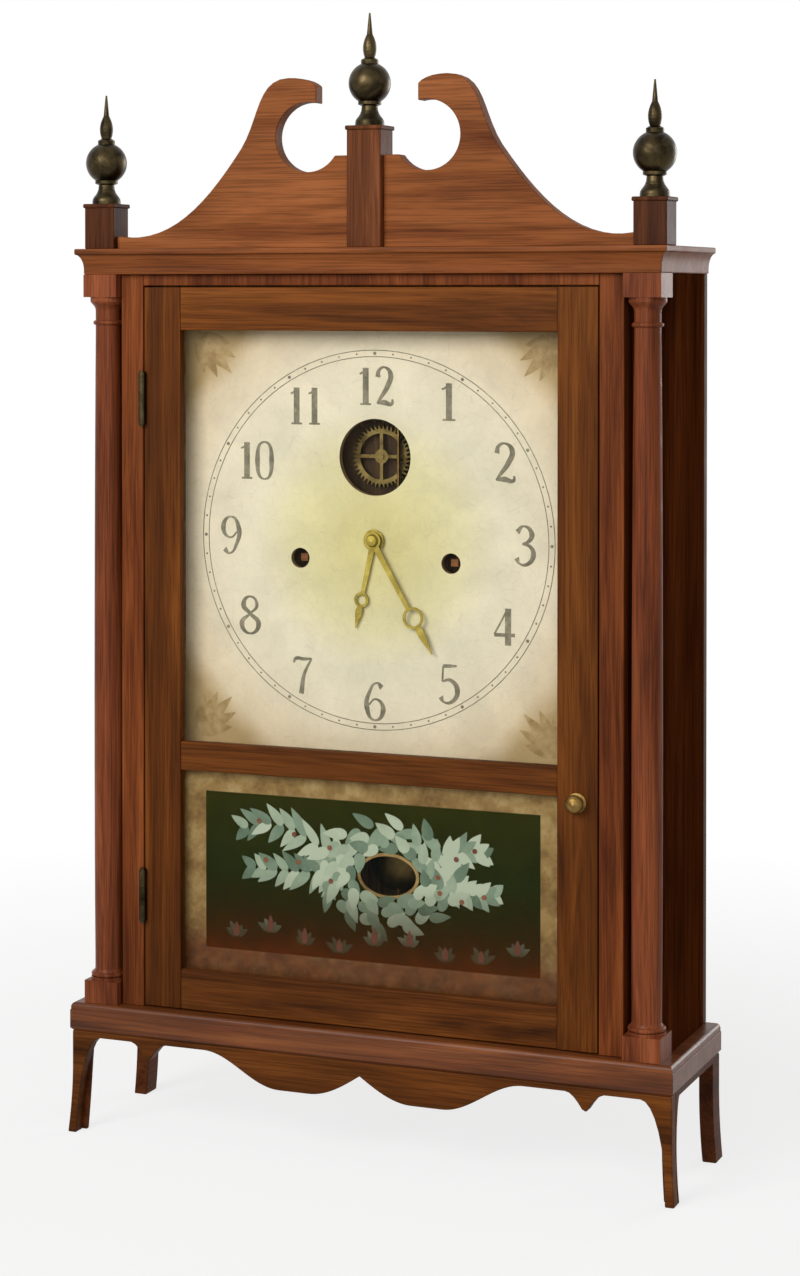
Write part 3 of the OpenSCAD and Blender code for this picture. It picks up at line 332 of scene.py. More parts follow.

# %% [markdown]
# One mahogany for the whole case would look cast in one piece. On the real clock each board is cut from
# another part of the tree, so each kind of board has its own three tones. Two of them are painted light and
# shade: the case sides are darker as painted shade, and the door's top rail is lighter as painted light
# against the cornice's shadow.
# The grain runs the long way of the board. Oak, pine and cherry serve the works and the back.

# %% Wood finishes
post_mahogany = wood("post_mahogany", rgb(74, 32, 12), rgb(114, 57, 25), rgb(143, 78, 38), "z")
upright_mahogany = wood("upright_mahogany", rgb(62, 30, 6), rgb(96, 50, 14), rgb(124, 70, 24), "z")
level_mahogany = wood("level_mahogany", rgb(64, 32, 8), rgb(100, 54, 18), rgb(128, 73, 29), "x")
# The door's top rail is a lighter copy of the rails' mahogany: painted light against the shadow that the
# cornice casts on it.
top_painted_light_mahogany = wood("top_painted_light_mahogany", rgb(78, 40, 11), rgb(120, 66, 22), rgb(150, 87, 36), "x")
# The case sides are darker than the front: painted shade for the sides, which face away from the lamps.
side_painted_shade_mahogany = wood("side_painted_shade_mahogany", rgb(53, 23, 8), rgb(85, 40, 15), rgb(107, 54, 25), "z",
                     rough=(0.7, 0.85), specular=0.0)
deep_mahogany = wood("deep_mahogany", rgb(58, 26, 10), rgb(90, 46, 21), rgb(114, 62, 31), "y")
pediment_mahogany = wood("pediment_mahogany", rgb(95, 46, 18), rgb(139, 79, 39), rgb(168, 101, 56), "x",
                         figure=30)
cornice_mahogany = wood("cornice_mahogany", rgb(92, 44, 16), rgb(135, 75, 36), rgb(163, 96, 52), "x",
                        rough=(0.4, 0.55), specular=0.1, figure=30)
base_mahogany = wood("base_mahogany", rgb(73, 34, 11), rgb(112, 59, 26), rgb(141, 82, 43), "x",
                     rough=(0.3, 0.42), specular=0.24)
polished_mahogany = wood("polished_mahogany", rgb(80, 36, 17), rgb(128, 66, 37), rgb(160, 90, 55), "z",
                         rough=(0.3, 0.45), polish=0.03)
plinth_mahogany = wood("plinth_mahogany", rgb(70, 34, 15), rgb(108, 60, 31), rgb(138, 80, 46), "z")
dark_mahogany = wood("dark_mahogany", rgb(50, 24, 10), rgb(80, 42, 20), rgb(104, 58, 31), "z")
dark_oak = wood("dark_oak", rgb(44, 30, 16), rgb(74, 52, 28), rgb(98, 72, 42), "z",
                rough=(0.5, 0.7), specular=0.15)
pale_pine = wood("pale_pine", rgb(132, 100, 62), rgb(172, 136, 90), rgb(196, 160, 112), "z",
                 rough=(0.55, 0.75), specular=0.15)
turned_cherry = wood("turned_cherry", rgb(104, 62, 32), rgb(142, 90, 50), rgb(170, 116, 70), "x",
                     rough=(0.45, 0.62), specular=0.12)
print("wood finishes:", len([m for m in bpy.data.materials if "mahogany" in m.name]), "of mahogany")

# %% [markdown]
# Old brass is a clean metal under an uneven brown film, and cast iron is dull and grainy.
# Film and metal could be two shaders with a mask between them, but the film is so thin that one will do:
# its colour and its roughness follow the same noise, and a finer noise gives the grain of the casting.

# %% Metal finishes


def metal(name, film, bright, rough, scale=60, grain=0.0002, metallic=1.0):
    """Metal with a film on it; rough is given for the film and for the bright places."""
    made = clouded(name, scale, ((0.34, film), (0.66, bright)), rough, 5, 0.65, 0.8, Metallic=metallic)
    tree = made.node_tree
    bump(tree, tree.nodes["Principled BSDF"], noise(tree, place(tree), scale * 12, 3), grain, 0.3)
    return made


finial_brass = metal("finial_brass", rgb(26, 22, 14), rgb(74, 63, 42), (0.46, 0.26))
fitting_brass = metal("fitting_brass", rgb(76, 58, 29), rgb(142, 112, 62), (0.46, 0.28))
# The bob's brass is darker than the rod's: painted shade for the bob, which hangs in the dark inside the
# case.
bob_painted_shade_brass = metal("bob_painted_shade_brass", rgb(34, 27, 14), rgb(78, 64, 36), (0.5, 0.34))
wheel_brass = metal("wheel_brass", rgb(62, 50, 25), rgb(128, 110, 64), (0.5, 0.32))
hand_brass = metal("hand_brass", rgb(122, 106, 40), rgb(176, 158, 76), (0.55, 0.4), scale=90)
cast_iron = metal("cast_iron", rgb(30, 29, 29), rgb(66, 64, 63), (0.7, 0.5),
                  scale=90, grain=0.0006, metallic=0.7)
print("finishes so far:", len(bpy.data.materials))

# %% [markdown]
# A bmesh is a mesh that code can cut and bend. To be seen it has to become an object; to move it has to ride
# on a body of the CAD model. Both are always done in the same way, so one function does them.
# The object stays at the origin and the mesh holds the place, as in the CAD model, so patterns can't slide.

# %% From a bmesh to a piece
body_of = {n: body for body, names in frame["record"]["behaviour"]["bodies"].items() for n in names}


def shown(name, bm, material, sharp=40):
    """Turns a bmesh into an object that is smooth up to an angle. Its place is already in its mesh."""
    mesh = bpy.data.meshes.new(name)
    bm.to_mesh(mesh)
    bm.free()
    mesh.materials.append(material)
    mesh.shade_smooth()
    mesh.set_sharp_from_angle(angle=radians(sharp))
    made = bpy.data.objects.new(name, mesh)
    scene.collection.objects.link(made)
    return made


def piece(name, bm, material, like, sharp=40):
    """An object that rides on the same body as a CAD node."""
    made = shown(name, bm, material, sharp)
    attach(made, body_of[like])
    return made


print("bodies:", len(set(body_of.values())))

# %% [markdown]
# Most of the clock's boards have the right shape in the CAD model, but their edges there are too sharp.
# A real edge is rubbed round by plane, polish and hands, and its thin line of light makes a board look solid.
# A bevel node in the material could fake that line.
# Each board is therefore a copy of its CAD mesh with its outer edges bevelled. The copy's triangles are
# merged to whole faces first, and a weighted-normal modifier keeps the wide faces flat to the light.

# %% Copies of CAD boards with rubbed edges
same_point = 1e-6
rubbed = 0.0009


def cad_copy(name):
    """A CAD node's mesh with its flat faces whole again."""
    bm = bmesh.new()
    bm.from_mesh(node[name].data)
    bmesh.ops.remove_doubles(bm, verts=bm.verts, dist=same_point)
    bmesh.ops.dissolve_limit(bm, angle_limit=radians(0.6), verts=bm.verts, edges=bm.edges)
    return bm


def rounded(bm, width, angle=32):
    """Bevels the outer edges that are sharper than an angle."""
    edges = [e for e in bm.edges if e.is_manifold and e.is_convex and e.calc_face_angle() > radians(angle)]
    bmesh.ops.bevel(bm, geom=edges, offset=width, offset_type="OFFSET", segments=2, profile=0.5,
                    affect="EDGES", clamp_overlap=True, material=-1)
    bmesh.ops.remove_doubles(bm, verts=bm.verts, dist=same_point)


boards = {
    post_mahogany: ["front_stiles", "head_rail"],
    upright_mahogany: ["door_left_stile", "door_right_stile"],
    level_mahogany: ["door_mid_rail", "door_bottom_rail", "front_skirt"],
    top_painted_light_mahogany: ["door_top_rail"],
    side_painted_shade_mahogany: ["case_sides"],
    deep_mahogany: ["side_skirts"],
    pediment_mahogany: ["scroll_pediment"],
    cornice_mahogany: ["cornice"],
    base_mahogany: ["base_moulding"],
    plinth_mahogany: ["centre_plinth"],
    dark_mahogany: ["side_plinths"],
}
for material, names in boards.items():
    for name in names:
        bm = cad_copy(name)
        rounded(bm, rubbed)
        board = piece(name + "_dressed", bm, material, name)
        board.modifiers.new("flat_faces", "WEIGHTED_NORMAL").keep_sharp = True
        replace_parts(board, name)
print("dressed boards:", sum(len(names) for names in boards.values()))

# %% [markdown]
# Turned columns, finials, wheels, hands and weights come from the CAD model as they are: they are round or
# fine, and a bevel would add faces without showing. They only need a finish in place of their plain colour.

# %% CAD nodes that keep their shapes


def coat(material, *names):
    """Gives CAD nodes a finish."""
    for name in names:
        node[name].data.materials.clear()
        node[name].data.materials.append(material)


kept = {
    polished_mahogany: ["left_column", "right_column"],
    finial_brass: ["left_finial", "centre_finial", "right_finial", "hinge_case_leaves", "hinge_door_leaves"],
    fitting_brass: ["door_latch", "pendulum_rod", "bell"],
    bob_painted_shade_brass: ["pendulum_bob"],
    wheel_brass: ["escape_wheel", "verge", "escapement_studs"],
    hand_brass: ["hour_hand", "minute_hand"],
    cast_iron: ["hammer", "pulley_hangers", "time_weight", "strike_weight"],
    dark_oak: ["front_plate", "back_plate"],
    pale_pine: ["top_board", "case_rails", "plate_pillars"],
    turned_cherry: ["centre_arbor", "hour_wheel", "minute_wheel", "third_wheel", "time_great_wheel",
                    "time_drum", "time_pulley", "strike_great_wheel", "strike_drum", "strike_pulley",
                    "pin_wheel", "warning_wheel", "fly"],
}
for material, names in kept.items():
    coat(material, *names)
print("nodes that keep their shapes:", sum(len(names) for names in kept.values()))

# %% [markdown]
# The back is closed by three pine boards set edge to edge. Each could have a material of its own, but they
# are one piece here, so its finish is the pale pine with tones chosen by position across the back:
# one tone for each board, a dark line at each joint, and outer edges stained to match the case.

# %% Finish of the backboard
back_low, back_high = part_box("backboard")
third = (back_high.x - back_low.x) / 3
joints = (back_low.x + third, back_high.x - third)
stain_from, stain_full = back_high.x - 0.0018, back_high.x - 0.0006
line_full, line_ends = 0.0006, 0.0011
back_pine = pale_pine.copy()
back_pine.name = "back_pine"
tree = back_pine.node_tree
shader = tree.nodes["Principled BSDF"]
plain = shader.inputs["Base Color"].links[0].from_socket
across = along(tree, "X")
between_joints = spread(tree, across, *joints, 0, 1)
board_tone = ramp(tree, between_joints, (0.0, 0.9), (0.01, 1.12), (0.99, 1.12), (1.0, 1.0))
colour = mix(tree, 1.0, plain, board_tone, "MULTIPLY")
from_joints = [maths(tree, "ABSOLUTE", maths(tree, "SUBTRACT", across, at)) for at in joints]
line = spread(tree, maths(tree, "MINIMUM", *from_joints), line_full, line_ends, 1, 0)
colour = mix(tree, line, colour, rgb(58, 42, 24))
edge = ramp(tree, maths(tree, "ABSOLUTE", across), (stain_from, 0.0), (stain_full, 1.0))
tint(tree, shader, mix(tree, edge, colour, rgb(62, 30, 14)))
print("joints of the back at x", [round(at, 4) for at in joints])

# %% [markdown]
# The joints between the boards are shallow grooves. Three separate boards would leave gaps to fill;
# instead three cuts close together across the CAD board give each joint a middle line, which is pushed in.
# The boards are nailed on, with flattened spheres for the heads, a little proud of the wood.

# %% Planks and nails of the backboard
groove_half, groove_deep = 0.0012, 0.0016
near = 1e-5
bm = cad_copy("backboard")
rounded(bm, 0.0007, 50)
for at in joints:
    for x in (at - groove_half, at, at + groove_half):
        whole = bm.verts[:] + bm.edges[:] + bm.faces[:]
        bmesh.ops.bisect_plane(bm, geom=whole, plane_co=(x, 0, 0), plane_no=(1, 0, 0))
for v in bm.verts:
    if min(abs(v.co.x - at) for at in joints) < near and v.co.y > back_high.y - near:
        v.co.y -= groove_deep
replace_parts(piece("backboard_planks", bm, back_pine, "backboard", sharp=25), "backboard")

nail_r, nail_flat, nail_sunk = 0.0022, 0.3, 0.0001
from_edge, from_joint = 0.012, 0.02
beside_joints = [at + side * from_joint for at in joints for side in (-1, 1)]
nail_x = (back_low.x + from_edge, *beside_joints, back_high.x - from_edge)
nail_z = (back_low.z + from_edge, (back_low.z + back_high.z) / 2, back_high.z - from_edge)
bm = bmesh.new()
for x in nail_x:
    for z in nail_z:
        seat = Matrix.Translation((x, back_high.y - nail_sunk, z)) @ Matrix.Diagonal((1, nail_flat, 1, 1))
        bmesh.ops.create_uvsphere(bm, u_segments=12, v_segments=8, radius=nail_r, matrix=seat)
piece("back_nails", bm, cast_iron, "pulley_hangers")
print("backboard of three planks with", len(nail_x) * len(nail_z), "nails")

# %% [markdown]
# The dial is a painted board. Its cream ground is yellower in the middle and toward the edges, and its
# corners are tan. Vertex colours could hold that, but a flat board has too few vertices.
# Distance from the dial's centre drives the tint instead, and the distances across and up, added, find
# the corners.

# %% Cream ground of the dial
dial_low, dial_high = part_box("dial_panel")
dial_face = dial_low.y
dial_up = (dial_low.z + dial_high.z) / 2
tan_from, tan_full = 0.228, 0.252
dial_paint, tree, shader = new_finish("dial_paint", Specular_IOR_Level=0.25)
flat = measure(tree, "MULTIPLY", place(tree, shift=(0, 0, -dial_up)), (1, 0, 1))[0]
far = measure(tree, "LENGTH", flat)["Value"]
cream = ramp(tree, far, (0.02, rgb(228, 217, 152)), (0.06, rgb(236, 227, 175)), (0.09, rgb(243, 234, 202)),
             (0.125, rgb(243, 231, 200)), (0.16, rgb(234, 214, 176)))
parts = add(tree, "SeparateXYZ", {0: measure(tree, "ABSOLUTE", flat)[0]}).outputs
ragged = maths(tree, "MULTIPLY", noise(tree, place(tree), 30), 0.02)
corner = maths(tree, "ADD", maths(tree, "ADD", parts["X"], parts["Z"]), ragged)
cream = mix(tree, ramp(tree, corner, (tan_from, 0.0), (tan_full, 1.0)), cream, rgb(188, 160, 110))
print("dial face at y", round(dial_face, 4), "and centre at z", round(dial_up, 4))

# %% [markdown]
# Age leaves stains and a net of fine cracks in the paint. Cracks cut into the mesh would need thousands
# of faces; the borders of a cell pattern give the same net to the colour and to the relief.
# Behind the face, depth in the board turns the paint to bare wood.

# %% Stains, cracks and bare back of the dial
paint_from, paint_to = 0.0004, 0.0006
stain = ramp(tree, noise(tree, place(tree), 26, 4, 0.6, 0.4), (0.35, 0.86), (0.65, 1.03))
colour = mix(tree, 0.8, cream, stain, "MULTIPLY")
net = add(tree, "TexVoronoi", {"Vector": place(tree), "Scale": 150.0}, feature="DISTANCE_TO_EDGE")
cells = net.outputs["Distance"]
colour = mix(tree, 0.5, colour, ramp(tree, cells, (0.0, 0.78), (0.03, 1.0)), "MULTIPLY")
streaks = noise(tree, place(tree, (1, 1, 0.05)), 120, 4, 0.6)
bare = ramp(tree, streaks, (0.3, rgb(128, 96, 58)), (0.7, rgb(178, 142, 96)))
depth = along(tree, "Y", shift=(0, -dial_face, 0))
tint(tree, shader, mix(tree, spread(tree, depth, paint_from, paint_to, 0, 1), colour, bare))
wear(tree, shader, noise(tree, place(tree), 40), 0.42, 0.6)
bump(tree, shader, cells, 0.0002, 0.15)
coat(dial_paint, "dial_panel")
print("dial painted with", len(tree.nodes), "nodes")

# %% [markdown]
# The numbers are brush strokes, thick where the brush was pressed and thin where it turned.
# A font could set them, but few fonts swell in this way. Each digit is a few strokes instead,
# drawn in a box one unit high. A stroke is a row of points with a half-width at each.

# %% Strokes of the ten digits
thick, even, thin = 0.085, 0.055, 0.03
digit_box_w = 0.6
digits = {
    "0": [((0.3, 1, thin), (0.06, 0.5, thick), (0.3, 0, thin), (0.54, 0.5, thick), (0.3, 1, thin))],
    "1": [((0.3, 0.02, thick), (0.3, 0.5, thick), (0.3, 0.98, thick)),
          ((0.3, 0.98, thin), (0.2, 0.86, thin), (0.1, 0.82, thin)),
          ((0.12, 0.02, thin), (0.3, 0.02, thin), (0.48, 0.02, thin))],
    "2": [((0.1, 0.74, thick), (0.14, 0.92, even), (0.32, 1, thin), (0.52, 0.82, thick), (0.42, 0.5, thick),
           (0.2, 0.2, even), (0.08, 0.04, thin)),
          ((0.08, 0.05, thin), (0.3, 0.07, thick), (0.56, 0.04, even), (0.58, 0.16, thin))],
    "3": [((0.1, 0.84, thick), (0.28, 1, thin), (0.5, 0.8, thick), (0.4, 0.6, even), (0.24, 0.54, thin)),
          ((0.24, 0.54, thin), (0.46, 0.47, even), (0.54, 0.24, thick), (0.36, 0.01, even),
           (0.16, 0.03, thin), (0.08, 0.17, thick))],
    "4": [((0.4, 0.98, thin), (0.22, 0.64, thin), (0.03, 0.3, thin)),
          ((0.03, 0.29, even), (0.3, 0.29, even), (0.6, 0.29, even)),
          ((0.41, 0.98, thick), (0.41, 0.5, thick), (0.41, 0.02, thick))],
    "5": [((0.14, 0.96, even), (0.32, 0.97, even), (0.52, 0.98, thin)),
          ((0.14, 0.96, thin), (0.13, 0.76, thin), (0.12, 0.56, thin)),
          ((0.12, 0.56, thin), (0.34, 0.6, even), (0.54, 0.34, thick), (0.38, 0.03, even),
           (0.16, 0.02, thin), (0.07, 0.15, thick))],
    "6": [((0.5, 0.87, thick), (0.36, 0.99, thin), (0.14, 0.72, even), (0.07, 0.34, thick), (0.3, 0, thin),
           (0.54, 0.28, thick), (0.34, 0.56, thin), (0.12, 0.4, thin))],
    "7": [((0.05, 0.84, thin), (0.1, 0.95, even), (0.34, 0.95, even), (0.57, 0.97, thin)),
          ((0.57, 0.97, thin), (0.36, 0.56, even), (0.27, 0.02, thick))],
    "8": [((0.3, 1, thin), (0.1, 0.78, thick), (0.3, 0.54, even), (0.55, 0.26, thick), (0.3, 0, thin),
           (0.05, 0.26, thick), (0.3, 0.54, thin), (0.5, 0.78, even), (0.3, 1, thin))],
    "9": [((0.1, 0.13, thick), (0.24, 0.01, thin), (0.46, 0.28, even), (0.53, 0.66, thick), (0.3, 1, thin),
           (0.06, 0.72, thick), (0.26, 0.44, thin), (0.48, 0.6, thin))],
}
print("digits:", len(digits), "with", sum(len(lines) for lines in digits.values()), "strokes")

# %% [markdown]
# A curve whose points carry their own radius swells and narrows as a brush stroke does.
# The curves become a mesh, because only a mesh can be pressed flat, to lie on the dial like a coat of paint.

# %% Helpers for brush strokes


def curve_mesh(name, curve):
    """The mesh of a curve as a bmesh. The curve is taken away."""
    made = bpy.data.objects.new(name, curve)
    scene.collection.objects.link(made)
    bpy.context.view_layer.update()
    mesh = bpy.data.meshes.new_from_object(made.evaluated_get(bpy.context.evaluated_depsgraph_get()))
    bm = bmesh.new()
    bm.from_mesh(mesh)
    bmesh.ops.remove_doubles(bm, verts=bm.verts, dist=same_point / 10)
    bmesh.ops.recalc_face_normals(bm, faces=bm.faces)
    bpy.data.objects.remove(made)
    bpy.data.curves.remove(curve)
    bpy.data.meshes.remove(mesh)
    return bm


def strokes(name, lines, y, depth):
    """Swelling strokes pressed to a film with its back at y; a line is a list of (x, z, radius) in metres."""
    curve = bpy.data.curves.new(name, "CURVE")
    curve.dimensions = "3D"
    curve.bevel_depth = 1.0
    curve.bevel_resolution = 1
    curve.use_fill_caps = True
    for line in lines:
        spline = curve.splines.new("BEZIER")
        spline.resolution_u = 6
        if line[0] == line[-1]:
            spline.use_cyclic_u = True
            line = line[:-1]
        spline.bezier_points.add(len(line) - 1)
        for point, (x, z, r) in zip(spline.bezier_points, line):
            point.co = (x, 0, z)
            point.radius = r
            point.handle_left_type = point.handle_right_type = "AUTO"
    bm = curve_mesh(name, curve)
    reach = max(abs(v.co.y) for v in bm.verts)
    for v in bm.verts:
        v.co.y = y - depth / 2 + depth / 2 * v.co.y / reach
    return bm


print("stroke helpers ready")

# %% [markdown]
# The twelve numbers stand upright in a ring that is a little taller than wide.
# Numbers of two digits are set closer and stand further in, so that they keep clear of the minute track.

# %% Numbers on the dial
film = 0.0001
digit_h = 0.026
ring_x, ring_z = 0.109, 0.111
width_for = {1: 0.6, 2: 0.52}
inward_for = {1: 0.0, 2: 0.005}
lines = []
for hour in range(1, 13):
    word = str(hour)
    step = width_for[len(word)] * digit_h
    inward = inward_for[len(word)]
    turn = radians(30 * hour)
    left = (ring_x - inward) * sin(turn) - step * len(word) / 2
    low = dial_up + (ring_z - inward) * cos(turn) - digit_h / 2
    for k, digit in enumerate(word):
        for line in digits[digit]:
            lines.append([(left + k * step + x / digit_box_w * step, low + z * digit_h, r * digit_h)
                          for x, z, r in line])
faded = (0.35, rgb(112, 106, 86)), (0.62, rgb(152, 144, 119)), (0.75, rgb(198, 190, 160))
number_paint = clouded("number_paint", 160, faded, (0.45, 0.65), blend=0.65, Specular_IOR_Level=0.2)
numbers = piece("dial_numbers", strokes("numbers", lines, dial_face, film), number_paint, "dial_panel")
print("numbers:", len(lines), "strokes,", len(numbers.data.polygons), "faces")

# %% [markdown]
# Painted ornament could be part of a material, but its edges would then be hard to place.
# As geometry it is drawn where it belongs: flat in the plane of the dial, with a ring as a circle of edges
# extruded outward, and then the whole drawing is given the thickness of a coat of paint.

# %% Helpers for flat ornament


def ring(bm, centre, radii, width, segments=96):
    """A flat ring or oval band whose inner edge has the given radii."""
    inner = bmesh.ops.create_circle(bm, segments=segments, radius=1)["verts"]
    edges = {e for v in inner for e in v.link_edges}
    grown = bmesh.ops.extrude_edge_only(bm, edges=list(edges))["geom"]
    outer = [g for g in grown if isinstance(g, bmesh.types.BMVert)]
    for verts, more in ((inner, 0), (outer, width)):
        for v in verts:
            v.co = (centre[0] + v.co.x * (radii[0] + more), 0, centre[1] + v.co.y * (radii[1] + more))


def disc(bm, centre, radius, segments=12):
    for v in bmesh.ops.create_circle(bm, cap_ends=True, segments=segments, radius=radius)["verts"]:
        v.co = (centre[0] + v.co.x, 0, centre[1] + v.co.y)


def painted(name, bm, y, depth, material, like):
    """Gives flat ornament its thickness, with its back at y, and makes it a piece."""
    grown = bmesh.ops.extrude_face_region(bm, geom=bm.faces[:])["geom"]
    front = {g for g in grown if isinstance(g, bmesh.types.BMVert)}
    for v in bm.verts:
        v.co.y = y + v.co.y - depth if v in front else y
    bmesh.ops.recalc_face_normals(bm, faces=bm.faces)
    return piece(name, bm, material, like, sharp=30)


print("ornament helpers ready; a coat of paint is", 1000 * film, "mm thick")

# %% [markdown]
# Two fine circles with a row of dots between them mark the minutes, with a larger dot at each hour.
# The dots could be an array modifier turned about the centre; a loop says the same in fewer steps.

# %% Minute track
track_rings, track_line = (0.126, 0.1304), 0.0006
dots_r, hour_dot, minute_dot = 0.1285, 0.0012, 0.0007
bm = bmesh.new()
for radius in track_rings:
    ring(bm, (0, dial_up), (radius, radius), track_line)
for minute in range(60):
    turn = radians(6 * minute)
    at = (dots_r * sin(turn), dial_up + dots_r * cos(turn))
    disc(bm, at, hour_dot if minute % 5 == 0 else minute_dot)
track = painted("minute_track", bm, dial_face, film, number_paint, "dial_panel")
print("minute track:", len(track.data.polygons), "faces")

# %% [markdown]
# Each corner of the dial has a fan of leaves on the tan ground, in a thin olive-gold paint.
# A leaf is a disc drawn out to a point at one end. Copies of one fan could be mirrored into the corners,
# but a mirror turns faces inside out, so one loop draws all four by changing the signs of x and z.

# %% Corner fans on the dial


def leaf(bm, root, turn, length, width, tone=0.5):
    """A pointed leaf that grows from its root in a direction given in degrees from +X.
    Each leaf lies a hair above the one before, as one brush stroke does over another.
    Its tone is kept in an attribute of its face, for a paint that reads it."""
    lift = -2e-6 * (len(bm.faces) + 1)
    tones = bm.faces.layers.float.get("tone") or bm.faces.layers.float.new("tone")
    ahead = Vector((cos(radians(turn)), sin(radians(turn))))
    for v in bmesh.ops.create_circle(bm, cap_ends=True, segments=16, radius=0.5)["verts"]:
        forward = min(1, v.co.x + 0.5)
        aside = 1.55 * v.co.y * (1 - forward) ** 0.5
        x = root[0] + ahead.x * length * forward - ahead.y * width * aside
        z = root[1] + ahead.y * length * forward + ahead.x * width * aside
        v.co = (x, lift, z)
    bm.faces.ensure_lookup_table()
    bm.faces[-1][tones] = tone


from_opening = 0.005
fan_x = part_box("door_right_stile")[0].x - from_opening
fan_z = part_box("door_top_rail")[0].z - dial_up - from_opening
fan_leaves, fan_leaf_w, fan_hub = (0.026, 0.032, 0.036, 0.032, 0.026), 0.0085, 0.004
bm = bmesh.new()
for side in (-1, 1):
    for up in (-1, 1):
        root = (side * fan_x, dial_up + up * fan_z)
        for k, length in enumerate(fan_leaves):
            turn = radians(9 + 18 * k)
            leaf(bm, root, degrees(atan2(-up * sin(turn), -side * cos(turn))), length, fan_leaf_w)
        disc(bm, root, fan_hub, 20)
olive_gold = (0.35, rgb(150, 122, 72)), (0.65, rgb(186, 158, 108))
fan_paint = clouded("fan_paint", 120, olive_gold, (0.4, 0.6), Specular_IOR_Level=0.3)
painted("corner_fans", bm, dial_face, film, fan_paint, "dial_panel")
print("four corner fans of", len(fan_leaves), "leaves")

# %% [markdown]
# The door has two panes. Glass could be a refracting shader, but a pane two millimetres thick bends
# nothing that can be seen. It only adds a faint film and a reflection. A nearly transparent glossy surface
# shows both; a slow bump gives the slight waves of old glass.

# %% Glass
window_glass, tree, shader = new_finish("window_glass", Alpha=0.03, Base_Color=(0.05, 0.06, 0.05, 1))
wear(tree, shader, noise(tree, place(tree), 18), 0.03, 0.09)
bump(tree, shader, noise(tree, place(tree), 9, 2), 0.0006, 0.12)
coat(window_glass, "dial_glass", "tablet_glass")
print("two panes")

# %% [markdown]
# The lower pane is painted on its back, in layers, with a small oval left clear to show the swinging bob.
# All of it could be one material, but then it would have no depth at a slant. Here the layers are thin sheets
# close behind the glass: berries and leaves in front, then a gilt border, then the ground.
# The ground is a rectangle with an oval hole, filled between its two outlines.
# Its dark green turns to red-brown at the foot, a painted reflection that height drives in the material.

# %% Painted ground of the tablet
layer_back = {"berries": 0.0002, "leaves": 0.0008, "gilt": 0.001, "ground": 0.0012}
pane_low, pane_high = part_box("tablet_glass")
bob_low, bob_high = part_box("pendulum_bob")
oval, oval_r = ((bob_low.x + bob_high.x) / 2, 0.1965), (0.0205, 0.0135)
ground_foot, ground_top = 0.125, 0.255
tablet_ground, tree, shader = new_finish("tablet_ground", Specular_IOR_Level=0.02)
cloud = noise(tree, place(tree), 34, 5, 0.6, 0.5)
level = maths(tree, "ADD", along(tree, "Z"), maths(tree, "MULTIPLY", cloud, 0.03))
# Red-brown toward the foot is a painted reflection.
ground = ramp(tree, spread(tree, level, ground_foot, ground_top, 0, 1), (0.12, rgb(92, 40, 8)),
              (0.3, rgb(58, 31, 2)), (0.45, rgb(40, 33, 2)), (0.65, rgb(32, 40, 6)), (1.0, rgb(44, 46, 6)))
mottle = ramp(tree, noise(tree, place(tree), 90, 4, 0.6), (0.35, 0.6), (0.65, 1.15))
tint(tree, shader, mix(tree, 0.5, ground, mottle, "MULTIPLY"))
wear(tree, shader, cloud, 0.45, 0.6)
bm = bmesh.new()
for v in bmesh.ops.create_circle(bm, segments=64, radius=1)["verts"]:
    v.co = (oval[0] + oval_r[0] * v.co.x, 0, oval[1] + oval_r[1] * v.co.y)
for v in bmesh.ops.create_circle(bm, segments=4, radius=1)["verts"]:
    x = pane_high.x if v.co.x + v.co.y > 0 else pane_low.x
    z = pane_high.z if v.co.y > v.co.x else pane_low.z
    v.co = (x, 0, z)
bmesh.ops.triangle_fill(bm, use_beauty=True, edges=bm.edges[:])
painted("tablet_ground", bm, pane_high.y + layer_back["ground"], film, tablet_ground, "tablet_glass")
print("ground with an oval window", [round(1000 * r, 1) for r in oval_r])

# %% [markdown]
# A band of gold leaf frames the tablet, and a narrow ring of it the oval. At the foot the gold turns to
# brown, a painted reflection. Gold leaf could be pure metal, but behind old glass it looks dull, so the
# finish is only partly metallic. The frame is a grid of three by three fields without its middle one.

# %% Gilt border of the tablet


def border(bm, low, high, band):
    """A flat frame inside a rectangle that is given by two corners."""
    bmesh.ops.create_grid(bm, x_segments=3, y_segments=3, size=1)
    columns = (low.x, low.x + band, high.x - band, high.x)
    rows = (low.z, low.z + band, high.z - band, high.z)
    for v in bm.verts:
        v.co = (columns[round(1.5 * (v.co.x + 1))], 0, rows[round(1.5 * (v.co.y + 1))])
    inner = [f for f in bm.faces if all(low.x < v.co.x < high.x and low.z < v.co.z < high.z for v in f.verts)]
    bmesh.ops.delete(bm, geom=inner, context="FACES")


border_band, oval_band = 0.0195, 0.0022
reflection_full, reflection_ends = 0.145, 0.172
tablet_gilt, tree, shader = new_finish("tablet_gilt", Metallic=0.2, Specular_IOR_Level=0.2)
cloud = noise(tree, place(tree), 70, 5, 0.65)
gilt = ramp(tree, cloud, (0.32, rgb(112, 84, 42)), (0.5, rgb(146, 116, 66)), (0.7, rgb(176, 150, 98)))
level = maths(tree, "ADD", along(tree, "Z"), maths(tree, "MULTIPLY", cloud, 0.02))
